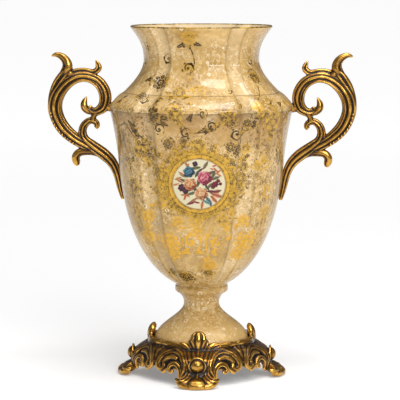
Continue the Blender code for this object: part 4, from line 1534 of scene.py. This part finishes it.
    def bouquet(self, desk: Desk, flat: Any, reach: Value, point: Any) -> Socket:
        """The painted flowers on the cream disc.

        Args:
            desk: the desk.
            flat: the place in the disc's frame.
            reach: the distance from the disc's middle.
            point: the place on the body.

        Returns:
            The colour of the picture.
        """
        weave = desk.noise(point, 900.0, 2.0)
        picture = desk.mix(weave, self.disc, tuple(c * 0.86 for c in self.disc))
        wobble = desk.noise(flat, 9.0, 2.0)
        px, py, _ = desk.split(flat)
        for sprig in SPRIGS:
            across, up = desk.turned(px, py, (sprig.x, sprig.y), sprig.size * 1.04, sprig.turn)
            blade = (abs(up) + across * across * 0.36 + wobble * 0.3).below(0.46, 0.10)
            light, dark = (tuple(min(1.0, c * 1.5 + 0.03) for c in sprig.shade), tuple(c * 0.5 for c in sprig.shade))
            tint = desk.mix(abs(up).below(0.08, 0.12), light, dark)
            picture = desk.mix(blade, picture, tint)
        for bloom in BLOSSOMS:
            across, up = desk.turned(px, py, (bloom.x, bloom.y), bloom.size)
            away, angle = self.polar(desk, across, up)
            wave = (angle * float(bloom.petals) + wobble * 9.0).cosine() * 0.09
            mask = (away + wave).below(0.92, 0.10)
            folds = (angle * 2.0 + away * 5.0).cosine() * 0.18
            swirl = (away * 2.1 + folds + wobble * 2.2).fraction()
            lit = (across * -0.20 + up * 0.30 + swirl * 0.80).times_plus(1.0, away.times_plus(-0.50, 0.30), clamp=True)
            tint = desk.ramp(lit, [(0.05, bloom.dark), (0.42, bloom.middle), (0.90, bloom.light)])
            picture = desk.mix(mask, picture, tint)
        return desk.mix(reach.above(0.965, 0.02), picture, self.disc_outline)


@dataclass(frozen=True)
class PlainInside:
    """The pale painted inside of the vessel."""

    colour: Colour = (0.66, 0.50, 0.28)
    mottling: float = 0.82

    def make(self) -> Material:
        """The material with a faint mottling."""
        desk = Desk("inside_paint")
        cloud = desk.noise(desk.point, 40.0, 4.0)
        colour = desk.mix(cloud, self.colour, tuple(c * self.mottling for c in self.colour))
        desk.shader(Base_Color=colour, Roughness=cloud.times_plus(0.15, 0.4))
        return desk.material


@dataclass(frozen=True)
class AntiqueGilt:
    """Worn gilding over dark umber: bright on the ridges, dark in the hollows."""

    umber: Colour = (0.009, 0.0045, 0.002)
    brown: Colour = (0.070, 0.030, 0.005)
    gold: Colour = (0.30, 0.142, 0.020)
    bright: Colour = (0.74, 0.42, 0.085)
    hollow_wear: float = -1.5
    relief: float = 0.12

    def make(self) -> Material:
        """The material, led by the noted hollows."""
        desk = Desk("antique_gilt")
        point = desk.point
        hollow = desk.value(desk.noted("hollow", "Fac"))
        patch = desk.noise(point, 70.0, 4.0, 0.6)
        speck = desk.noise(point, 420.0, 3.0, 0.6)
        level = (hollow * self.hollow_wear + patch * 0.70 + speck * 0.14).times_plus(1.0, -0.10, clamp=True)
        colour = desk.ramp(level, [(0.04, self.umber), (0.30, self.brown), (0.58, self.gold), (1.0, self.bright)])
        rough = level.times_plus(-0.20, 0.34)
        desk.shader(Base_Color=colour, Metallic=level.times_plus(0.5, 0.45), Roughness=rough,
                    Normal=desk.bump(speck + patch, self.relief, 0.5 * MM))
        return desk.material


@dataclass(frozen=True)
class PaleFloor:
    """The plain pale studio floor."""

    near: Colour = (0.74, 0.74, 0.74)
    far: Colour = (0.93, 0.93, 0.93)
    glow: float = 0.25

    def make(self) -> Material:
        """The material, a little less bright under the lamps, and very faintly cloudy."""
        desk = Desk("pale_floor")
        cloud = desk.noise(desk.point, 2.0, 2.0).times_plus(0.02, -0.15)
        colour = desk.mix(desk.length(desk.point).times_plus(0.30, cloud, clamp=True), self.near, self.far)
        desk.shader(Base_Color=colour, Roughness=0.75, Emission_Color=(1.0, 1.0, 1.0), Emission_Strength=self.glow)
        return desk.material


# Pieces


@dataclass
class Vessel:
    """The hollow lacquered body, whose outer finish turns over the lip and ends a little below the rim."""

    form: BodyForm
    lip: float = 3 * MM
    level_normal: float = 0.9

    def build(self, outside: Material, inside: Material) -> Thing:
        """Turns the body, gives it its plan and dresses it.

        Args:
            outside: the lacquer.
            inside: the paint of the inside.

        Returns:
            The finished piece.
        """
        form = self.form
        steps = 4 * (form.front_steps + form.side_steps + form.flute_steps)
        piece = Bench.spun("urn_body", form.profile(), steps)
        piece.data.name = "urn_body"
        widths, heights = np.array(form.bowl()[::-1]).T

        def shape(places: np.ndarray) -> np.ndarray:
            """Gives the turned form its squarish fluted plan.

            Args:
                places: the vertices' places.

            Returns:
                Their new places.
            """
            out = places.copy()
            for n, (x, y, z) in enumerate(places):
                reach = math.hypot(x, y)
                if reach < form.axis_width:
                    continue
                inset = 0.0
                if z > form.foot:
                    inset = min(max(float(np.interp(z, heights, widths)) - reach, 0.0), form.wall)
                angle = form.plan_angle(math.degrees(math.atan2(x, -y)) % 360.0)
                radius = form.plan_radius(reach + inset, angle, z) - inset
                out[n, 0] = radius * math.sin(math.radians(angle))
                out[n, 1] = -radius * math.cos(math.radians(angle))
            return out

        Bench.moved(piece, shape)
        Bench.outward(piece)
        Bench.smooth(piece)
        Bench.paint(piece, outside, inside)
        for face in piece.data.polygons:
            x, y, z = face.center
            inward = face.normal.x * x + face.normal.y * y < 0.0 or face.normal.z > self.level_normal
            if form.foot + form.wall / 2 < z < form.rim - self.lip and inward:
                face.material_index = 1
        GoldPattern(form).note(piece)
        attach(piece, "root")
        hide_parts("vase_body")
        return piece


ARM_DEPTH = 1.05

# The strokes of the right handle, outwards from the shoulder edge and upwards from it.
HANDLE_STROKES = {name: Stroke(points, section, depth) for name, section, depth, points in (
    ("main", RIBBED, ARM_DEPTH, ((24.5, 1, 1.6), (27.5, -3.5, 3.4), (23, -7, 4.2), (17, -6.5, 4.8), (8.8, -1, 5.9),
        (5.2, 11, 6.2), (8.2, 23.5, 6.1), (17.2, 34, 5.9), (32.4, 38.9, 5.7), (47, 36.5, 6.2), (60.2, 27, 7.2),
        (69.5, 13.2, 8.0), (72.3, -0.8, 8.2), (69.5, -14.7, 7.6), (62.5, -27.6, 7.3), (53, -37.2, 7.0),
        (42.5, -44.7, 6.4), (30, -51.5, 5.8), (18, -58, 3.5))),
    ("inner_ridge", ROUND, 3.0, ((24, -2, 1.0), (19, -2.2, 1.5), (14, 3, 1.7), (12.6, 11, 1.7), (15, 21, 1.7),
        (21.5, 29, 1.7), (32.4, 33.4, 1.8), (44.5, 31, 1.9), (55, 22.6, 2.0), (62.2, 11, 2.0), (64.5, -0.8, 2.0),
        (62, -12.5, 1.9), (56, -23, 1.8), (48, -31.6, 1.6), (40, -37.5, 1.0))),
    ("outer_band", CHANNEL, 1.35, ((55, 46, 4.4), (62, 39, 5.4), (70.3, 27, 5.0), (76.2, 12, 3.7), (78.2, -1, 2.3),
        (76.6, -14, 1.2))),
    ("horn", EDGED, 0.95, ((68.5, 28, 3.2), (62, 38, 5.2), (56.2, 47, 6.4), (55.2, 53, 6.0), (57.4, 59, 5.2),
        (62.5, 64, 4.2), (69.3, 66.4, 2.9), (75.6, 64.6, 1.0))),
    ("top_leaf", CHANNEL, 1.2, ((53, 42, 2.8), (44, 45.5, 3.2), (33, 46.2, 3.2), (22, 44.2, 3.6), (15.3, 48.5, 3.9),
        (16.0, 54, 3.1), (18.6, 59.6, 0.8))),
    ("bud", EDGED, 1.1, ((22, -8, 2.4), (28.5, -6.3, 3.6), (33.5, -1.6, 4.4), (34.2, 4.2, 3.9), (32.4, 9.3, 2.4),
        (31, 13, 0.7))),
    ("lower", RIBBED, ARM_DEPTH, ((19.6, -27.5, 2.6), (17.4, -24.5, 3.3), (19.4, -20, 3.8), (26.5, -17.9, 4.1),
        (33.8, -23.7, 4.7), (36.5, -32.9, 5.2), (33.2, -42.5, 5.6), (23.4, -51, 6.8), (10.4, -60.2, 7.2),
        (0.6, -69, 6.5), (-5.6, -78.8, 5.6), (-9.6, -91, 4.9), (-12.2, -105, 3.9), (-15.5, -119, 2.2))),
    ("lower_leaf", EDGED, 1.1, ((14, -62, 3.6), (22, -58.4, 4.4), (32, -57.8, 4.6), (41, -59.4, 4.8),
        (45.4, -65.4, 4.9), (44.0, -72.0, 4.4), (42.4, -76, 2.0))),
    ("lug", ROUND, 0.9, ((9, 3, 4.6), (2, 0, 5.6), (-4, -1.5, 5.2))),
    ("link", ROUND, 1.2, ((19, -8, 3.6), (22, -13, 3.4), (23, -19, 3.6))),
    ("knop", ROUND, 1.35, ((46, 39, 3.0), (52, 42.5, 4.4), (56, 45, 3.4))),
)}


@dataclass
class Handle:
    """A scrolled handle, drawn outwards from the shoulder edge and upwards from it."""

    form: BodyForm
    casting: Casting
    stoutness: float = 1.07
    bead: float = 2.55 * MM
    bead_depth: float = 3.1
    bead_count: int = 10

    def beads(self) -> list[Thing]:
        """The row of beads along the lower outer edge."""
        edge = smooth_line(((76.4, -8.5), (73.4, -20), (67.6, -30.2), (59, -39), (48, -46.8)), 12)
        places = [edge[round(n * (len(edge) - 1) / (self.bead_count - 1))] for n in range(self.bead_count)]
        return [Bench.ball((x * MM, y * MM, 0.0), self.bead, (1.0, 1.0, self.bead_depth)) for x, y in places]

    def build(self, finish: Material) -> list[Thing]:
        """Casts the right handle and copies it to the left.

        Args:
            finish: the gilding.

        Returns:
            Both handles.
        """
        parts = [stroke.flat(name, self.stoutness) for name, stroke in HANDLE_STROKES.items()]
        right = self.casting.run("urn_handle_right", [*parts, *self.beads()])
        middle, level = self.form.shoulder_width, self.form.shoulder
        Bench.moved(right, lambda p: np.stack([middle + p[:, 0], -p[:, 2], level + p[:, 1]], axis=1))
        Bench.outward(right)
        self.casting.note_hollows(right)
        Bench.paint(right, finish)
        left = Bench.mirrored(Bench.copied(right), -1.0)
        left.name = left.data.name = "urn_handle_left"
        Bench.outward(left)
        for piece, node in ((right, "handle_right"), (left, "handle_left")):
            Bench.smooth(piece)
            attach(piece, "root")
            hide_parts(node)
        return [right, left]


# The strokes on the right half of a leg, across from its middle and up from the ground.
LEG_STROKES = {name: Stroke(points, section, depth) for name, section, depth, points in (
    ("big_scroll", RIBBED, 0.85, ((20.5, 9, 2.6), (17.6, 15, 4.0), (15.2, 23, 4.4), (16, 32, 4.6), (22.5, 40.5, 4.8),
        (35, 44, 5.0), (47.5, 40, 4.8), (55.5, 31, 4.4), (56.5, 22.5, 3.8), (51, 18.4, 3.2), (46.6, 21.5, 2.8),
        (47.4, 26, 2.4))),
    ("outer_ridge", ROUND, 1.5, ((9.6, 29, 1.2), (10.8, 37, 1.6), (17, 45.6, 1.8), (28, 49.4, 1.8), (40, 48.8, 1.7),
        (52, 43, 1.5), (60, 35, 1.2))),
    ("small_scroll", CHANNEL, 1.1, ((22, 10, 2.0), (20.6, 16, 2.8), (22, 23, 3.1), (28, 27.6, 3.2), (35, 25.6, 3.0),
        (37.6, 20, 2.7), (34.4, 16.4, 2.4), (31.2, 18.6, 2.2))),
    ("inner_leaf", EDGED, 0.7, ((27, 34, 1.8), (36, 36.2, 3.0), (44, 32.6, 3.2), (48.8, 27, 2.2))),
    ("hook", ROUND, 0.9, ((38, 22, 1.6), (42, 19, 2.2), (46, 15.6, 2.4), (50, 14.6, 1.6))),
    ("rim_band", EDGED, 0.7, ((63, 48.2, 1.6), (56, 49, 3.0), (45, 48.6, 3.6), (34, 47.2, 3.5), (27, 45.4, 2.4))),
    ("rim_leaf", CHANNEL, 0.9, ((30, 50.4, 1.6), (23.5, 49.2, 3.4), (16.5, 45.4, 3.4), (11, 38.6, 2.4),
        (8.6, 32, 1.2))),
    ("crest_side", CHANNEL, 0.8, ((3.4, 36, 2.0), (6.2, 43, 2.9), (10.4, 49.5, 3.5), (14, 53.4, 2.9),
        (15.6, 54.4, 1.2))),
    ("crest_low", ROUND, 0.8, ((5, 35, 1.2), (9.4, 40.6, 2.1), (14.4, 45.4, 2.3), (18.4, 47, 1.3))),
    ("crest_stem", ROUND, 1.2, ((2.4, 29, 1.2), (3.8, 35, 1.6), (6.4, 41, 1.9), (10, 46.5, 1.6))),
    ("crest_stem_outer", ROUND, 1.2, ((5.6, 28, 1.2), (8.2, 34, 1.6), (12.4, 40, 1.8), (18, 44.4, 1.4))),
    ("stem_ridge", ROUND, 1.1, ((13.5, 11, 1.2), (11.6, 18, 1.8), (11.2, 26, 1.6), (10.6, 33, 1.0))),
    ("diagonal_knot", EDGED, 0.8, ((57, 45, 2.4), (61, 41, 3.4), (62.5, 34, 3.0), (61.5, 26, 2.0))),
)}


@dataclass
class Stand:
    """The four-footed stand: a lobed skirt dressed with scrolls, palmettes, knobs and curled feet.

    The instep's line, as distance from the axis and height, and the room that the socle needs inside the
    palmettes, as height and radius, are in millimetres.
    """

    casting: Casting
    plate: float = 43.7 * MM
    plate_wall: float = 6.0 * MM
    seat_radius: float = 62.0 * MM
    top_radius: float = 66.5 * MM
    spread: float = 13.0 * MM
    edge: float = 20.0 * MM
    wall: float = 6.0 * MM
    steps: int = 128
    band_lean: float = 0.4 * MM
    band_inner: float = 6.0 * MM
    band_inset: float = 1.5 * MM
    band_top: float = 7.5 * MM
    band_outer: float = 5.0 * MM
    bulge: float = 9.0 * MM
    crest: float = 68.0 * MM
    reach: float = 109.5 * MM
    toe_half: float = 26.0 * MM
    toe_bow: float = 5.5 * MM
    toe_back: float = 9.4 * MM
    knob_height: float = 27.0 * MM
    knob: float = 8.2 * MM
    knob_ring: float = 10.0 * MM
    knob_ring_wall: float = 1.5 * MM
    instep: tuple[Pair, ...] = (
        (79, 34), (82.5, 27), (86, 20), (90.5, 14), (97, 10.2), (102.6, 8), (105.2, 5), (105, 1.4))
    socle_room: tuple[Pair, ...] = ((44.2, 61.6), (49.5, 61.6), (59.0, 59.4), (68.0, 54.0))

    def skirt(self) -> list[Pair]:
        """The outer side of the skirt from its top down to its edge."""
        drop = self.plate - self.edge
        shares = ((0.05, 0.0), (0.38, 0.14), (0.70, 0.40), (0.90, 0.70), (1.0, 1.0))
        return [(self.top_radius + out * self.spread, self.plate - down * drop) for out, down in shares]

    def leg_bulge(self, heights: np.ndarray, angles: np.ndarray) -> np.ndarray:
        """How much further out the skirt stands towards the legs.

        Args:
            heights: metres above the ground.
            angles: radians from the front.

        Returns:
            The added reach in metres.
        """
        turn = 0.5 + 0.5 * np.cos(4.0 * angles)
        share = np.clip(2.0 * (self.plate - heights) / (self.plate - self.edge), 0.0, 1.0)
        return self.bulge * turn**1.5 * share * share * (3.0 - 2.0 * share)

    def skirt_radius(self, heights: np.ndarray, angles: np.ndarray) -> np.ndarray:
        """How far the skirt's outer side stands from the axis."""
        radii, levels = np.array(self.skirt()[::-1]).T
        return np.interp(heights, levels, radii) + self.leg_bulge(heights, angles)

    def core(self) -> Thing:
        """The plate with its seat band and the lobed skirt."""
        under = self.plate - self.plate_wall
        inner = [(r - self.wall, z) for r, z in self.skirt()[:0:-1] if z < under]
        profile = [(0.0, self.plate), (self.seat_radius, self.plate),
                   (self.seat_radius + self.band_lean, self.plate + self.band_inner),
                   (self.top_radius - self.band_inset, self.plate + self.band_top),
                   (self.top_radius, self.plate + self.band_outer),
                   *self.skirt(), *inner,
                   (self.top_radius + 0.38 * self.spread - self.wall, under), (0.0, under)]
        piece = Bench.spun("stand_core", profile, self.steps)

        def lobe(p: np.ndarray) -> np.ndarray:
            """Moves the skirt out towards the legs.

            Args:
                p: the vertices' places.

            Returns:
                Their new places.
            """
            reach = np.maximum(np.hypot(p[:, 0], p[:, 1]), 1e-9)
            grow = np.where(p[:, 2] < under - 0.1 * MM, self.leg_bulge(p[:, 2], np.arctan2(p[:, 0], -p[:, 1])), 0.0)
            return p * np.stack([1 + grow / reach, 1 + grow / reach, np.ones_like(reach)], axis=1)

        return Bench.moved(piece, lobe)

    def wrapped(self, thing: Thing) -> Thing:
        """Lays a flat ornament round the skirt at the front.

        Args:
            thing: the ornament, across in X, up in Y and out in Z.

        Returns:
            The laid ornament.
        """
        middle = self.top_radius + self.spread

        def lay(p: np.ndarray) -> np.ndarray:
            """Bends across, up and relief onto the skirt.

            Args:
                p: the vertices' places.

            Returns:
                Their new places.
            """
            angle = p[:, 0] / middle
            radius = self.skirt_radius(p[:, 1], angle) + p[:, 2]
            lean = np.clip((p[:, 1] - self.plate) / (self.crest - self.plate), 0.0, 1.0)
            radius -= (self.top_radius + self.band_inset - self.seat_radius) * lean**1.3
            return np.stack([radius * np.sin(angle), -radius * np.cos(angle), p[:, 1]], axis=1)

        return Bench.moved(thing, lay)

    def crest_lobe(self) -> Stroke:
        """The tall middle lobe of the palmette."""
        return Stroke(((0, 31, 2.6), (0, 38, 4.4), (0, 45, 7.4), (0, 51.5, 11.2), (0, 57.5, 12.8), (0, 63, 10.6),
                       (0, 66.6, 4.6)), RIBBED, 0.42)

    def on_foot(self, thing: Thing) -> Thing:
        """Lays a flat ornament on the instep.

        Args:
            thing: the ornament, across in X, down from the knob in Y and its relief in Z.

        Returns:
            The laid ornament.
        """
        line = np.array(self.instep)
        steps = np.hypot(*np.diff(line, axis=0).T)
        along = np.concatenate([[0.0], np.cumsum(steps)]) * MM
        slope = np.gradient(line, along / MM, axis=0)
        slope /= np.linalg.norm(slope, axis=1)[:, None]

        def lay(p: np.ndarray) -> np.ndarray:
            """Bends across, down and relief onto the instep.

            Args:
                p: the vertices' places.

            Returns:
                Their new places.
            """
            r, z = (np.interp(p[:, 1], along, line[:, k]) * MM for k in (0, 1))
            dr, dz = (np.interp(p[:, 1], along, slope[:, k]) for k in (0, 1))
            bow = self.toe_bow * (p[:, 0] / self.toe_half) ** 2
            return np.stack([p[:, 0], -(r - bow - dz * p[:, 2]), z + dr * p[:, 2]], axis=1)

        return Bench.moved(thing, lay)

    def foot_strokes(self) -> list[tuple[Stroke, bool]]:
        """The strokes of the foot, across and down from the knob, and whether each has a mirrored twin."""
        return [
            (Stroke(((9.4, -6, 1.6), (10.4, 4, 2.6), (11, 13, 3.2), (12.4, 22, 3.8), (16.4, 30, 4.2), (21.6, 34, 4.0),
                     (25.4, 32.4, 3.0), (26.4, 28.4, 1.8)), CHANNEL), True),
            (Stroke(((5.4, 8, 1.3), (7.0, 18, 2.0), (9.6, 28, 2.6), (14.4, 36, 2.8), (20.4, 40, 2.2))), True),
            (Stroke(((0, 8, 2.2), (0, 17, 3.6), (0, 25, 5.6), (0, 33, 8.8), (0, 39.5, 11.4), (0, 44, 11.4)),
                    ROUND, 0.36), False),
            (Stroke(((0, 9, 0.9), (0, 20, 1.3), (0, 30, 1.0)), ROUND, 2.6), False),
        ]

    def foot(self) -> list[Thing]:
        """The front foot: its solid toe and instep, and the curled strokes laid on them."""
        toe = Stroke(((-25.4, 8.0, 2.0), (-20.5, 5.2, 3.8), (-12, 3.8, 4.4), (0, 3.4, 4.6), (12, 3.8, 4.4),
                      (20.5, 5.2, 3.8), (25.4, 8.0, 2.0)), ROUND, 1.7).flat("toe")
        far = self.reach - self.toe_back

        def bow(p: np.ndarray) -> np.ndarray:
            """Sets the toe across the foot's front and bows its ends back."""
            back = far - self.toe_bow * (p[:, 0] / self.toe_half) ** 2
            return np.stack([p[:, 0], -(back + p[:, 2]), np.maximum(p[:, 1], 0.0)], axis=1)

        parts = [Bench.moved(toe, bow)]
        instep = Stroke(((72, 36, 5.0), (77, 29, 6.0), (81.5, 21, 6.4), (86, 13, 6.6), (93, 7.4, 6.0), (99, 6, 4.6)),
                        ROUND, 2.0).flat("instep")
        parts.append(Bench.moved(instep, lambda p: np.stack([p[:, 2], -p[:, 0], p[:, 1]], axis=1)))
        for stroke, twin in self.foot_strokes():
            for side in (1.0, -1.0) if twin else (1.0,):
                parts.append(self.on_foot(Bench.mirrored(stroke.flat("foot_stroke"), side)))
        return parts

    def leg(self) -> list[Thing]:
        """All ornaments of the front leg."""
        parts = self.foot()
        for name, stroke in LEG_STROKES.items():
            for side in (-1.0, 1.0):
                parts.append(self.wrapped(Bench.mirrored(stroke.flat(name), side)))
        parts.append(self.wrapped(self.crest_lobe().flat("crest_lobe")))
        boss = float(self.skirt_radius(np.array([self.knob_height]), np.array([0.0]))[0])
        parts.append(Bench.ball((0.0, -(boss + 2.2 * MM), self.knob_height), self.knob, (1.0, 0.85, 1.0)))
        Bench.clear_selection()
        bpy.ops.mesh.primitive_torus_add(
            major_radius=self.knob_ring, minor_radius=self.knob_ring_wall, major_segments=40, minor_segments=12,
            rotation=(math.radians(90), 0.0, 0.0), location=(0.0, -(boss + 1.6 * MM), self.knob_height))
        bpy.ops.object.transform_apply(location=True, rotation=True, scale=True)
        parts.append(bpy.context.active_object)
        for part in parts:
            Bench.outward(part)
        return parts

    def build(self, finish: Material) -> Thing:
        """Casts the stand in one piece.

        Args:
            finish: the gilding.

        Returns:
            The finished piece.
        """
        front = Bench.joined("leg_front", self.leg())
        legs = [front]
        for turn in (90, 180, 270):
            spin = np.array(Matrix.Rotation(math.radians(turn), 3, "Z"))
            legs.append(Bench.moved(Bench.copied(front), lambda p, s=spin: p @ s.T))
        piece = self.casting.run("urn_stand", [self.core(), *legs])
        low, high = (np.array(corner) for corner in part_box("stand"))
        levels, radii = np.array(self.socle_room).T * MM

        def settle(p: np.ndarray) -> np.ndarray:
            """Levels the soles and keeps the casting within its reach and clear of the socle.

            Args:
                p: the vertices' places.

            Returns:
                Their new places.
            """
            q = np.clip(p, low, high)
            reach = np.maximum(np.hypot(q[:, 0], q[:, 1]), 1e-9)
            room = np.interp(q[:, 2], levels, radii)
            push = np.where((q[:, 2] > levels[0]) & (reach < room), room / reach, 1.0)
            return q * np.stack([push, push, np.ones_like(push)], axis=1)

        Bench.moved(piece, settle)
        self.casting.note_hollows(piece)
        Bench.paint(piece, finish)
        Bench.smooth(piece)
        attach(piece, "root")
        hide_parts("stand")
        return piece


@dataclass(frozen=True)
class SoftBox:
    """A soft rectangular light: its name, its place, its width and height, and its power in watts."""

    name: str
    place: Triple
    size: Pair
    power: float


BOXES = (
    SoftBox("box_front", (0.90, -2.05, 1.60), (1.25, 1.25), 24.0),
    SoftBox("strip_front", (0.80, -2.05, 1.05), (1.3, 0.17), 8.5),
    SoftBox("strip_top", (0.25, -0.50, 1.95), (0.62, 0.40), 7.5),
    SoftBox("box_left", (-1.7, -0.6, 0.9), (0.5, 0.5), 0.3),
)


@dataclass
class Studio:
    """The plain floor, the soft lights and the camera."""

    azimuth: float = 3.5
    distance: float = 2.507
    height: float = 0.5213
    look_height: float = 0.2263
    look_left: float = 2.0 * MM
    lens: float = 176.76
    sensor: float = 36.0
    sight: float = 400.0
    floor_width: float = 160.0
    floor_gap: float = 0.2 * MM
    key_place: Triple = (0.12, -0.22, 1.0)
    key_power: float = 2.2
    key_spread: float = 75.0
    lit_height: float = 0.3
    surround: float = 0.15

    @staticmethod
    def aimed(data: bpy.types.Camera | bpy.types.Light, place: Sequence[float],
              target: Sequence[float]) -> Thing:
        """Sets up a camera or a light.

        Args:
            data: the camera or the light.
            place: where it stands.
            target: what it is aimed at.

        Returns:
            The new object, named as its data.
        """
        thing = bpy.data.objects.new(data.name, data)
        bpy.context.scene.collection.objects.link(thing)
        thing.location = place
        thing.rotation_euler = (Vector(target) - Vector(place)).to_track_quat("-Z", "Y").to_euler()
        return thing

    def floor(self, finish: Material) -> Thing:
        """The large pale floor.

        Args:
            finish: its material.

        Returns:
            The floor.
        """
        Bench.clear_selection()
        bpy.ops.mesh.primitive_plane_add(size=self.floor_width, location=(0.0, 0.0, -self.floor_gap))
        bpy.ops.object.mode_set(mode="EDIT")
        bpy.ops.mesh.subdivide(number_cuts=3)
        bpy.ops.object.mode_set(mode="OBJECT")
        piece = bpy.context.active_object
        bpy.ops.object.transform_apply(location=True, rotation=True, scale=True)
        piece.name = piece.data.name = "floor"
        piece.data.materials.append(finish)
        return piece

    def camera(self) -> None:
        """The camera at the photograph's angle."""
        turn = math.radians(self.azimuth)
        right = Vector((math.cos(turn), math.sin(turn), 0.0))
        place = Vector((self.distance * math.sin(turn), -self.distance * math.cos(turn), self.height))
        place -= right * self.look_left
        target = Vector((0.0, 0.0, self.look_height)) - right * self.look_left
        data = bpy.data.cameras.new("photograph")
        data.lens = self.lens
        data.sensor_width = self.sensor
        data.clip_end = self.sight
        bpy.context.scene.camera = self.aimed(data, place, target)

    def lights(self) -> None:
        """The sun-like key, the soft boxes and the even surround."""
        key = bpy.data.lights.new("key", "SUN")
        key.energy = self.key_power
        key.angle = math.radians(self.key_spread)
        self.aimed(key, self.key_place, (0.0, 0.0, 0.0))
        for box in BOXES:
            data = bpy.data.lights.new(box.name, "AREA")
            data.shape = "RECTANGLE"
            data.size, data.size_y = box.size
            data.energy = box.power
            self.aimed(data, box.place, (0.0, 0.0, self.lit_height))
        world = bpy.data.worlds.new("surround")
        world.use_nodes = True
        background = world.node_tree.nodes["Background"]
        background.inputs[0].default_value = (1.0, 1.0, 1.0, 1.0)
        background.inputs[1].default_value = self.surround
        bpy.context.scene.world = world
        bpy.context.scene.view_settings.view_transform = "Standard"


def main() -> None:
    """Dresses the vase and sets the studio."""
    logging.basicConfig(level=logging.INFO, format="%(name)s: %(message)s")
    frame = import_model()
    LOG.info("nodes: %s", ", ".join(sorted(frame["nodes"])))
    form = BodyForm()
    gilt = AntiqueGilt().make()
    studio = Studio()
    studio.camera()
    studio.floor(PaleFloor().make())
    studio.lights()
    pieces = [Vessel(form).build(LacquerFinish().make(form), PlainInside().make())]
    pieces += Handle(form, Casting(grain=0.65 * MM)).build(gilt)
    pieces.append(Stand(Casting(grain=0.85 * MM)).build(gilt))
    for piece in pieces:
        LOG.info("%s: %d faces", piece.name, len(piece.data.polygons))
    Bench.clear_selection()


if __name__ == "__main__":
    main()
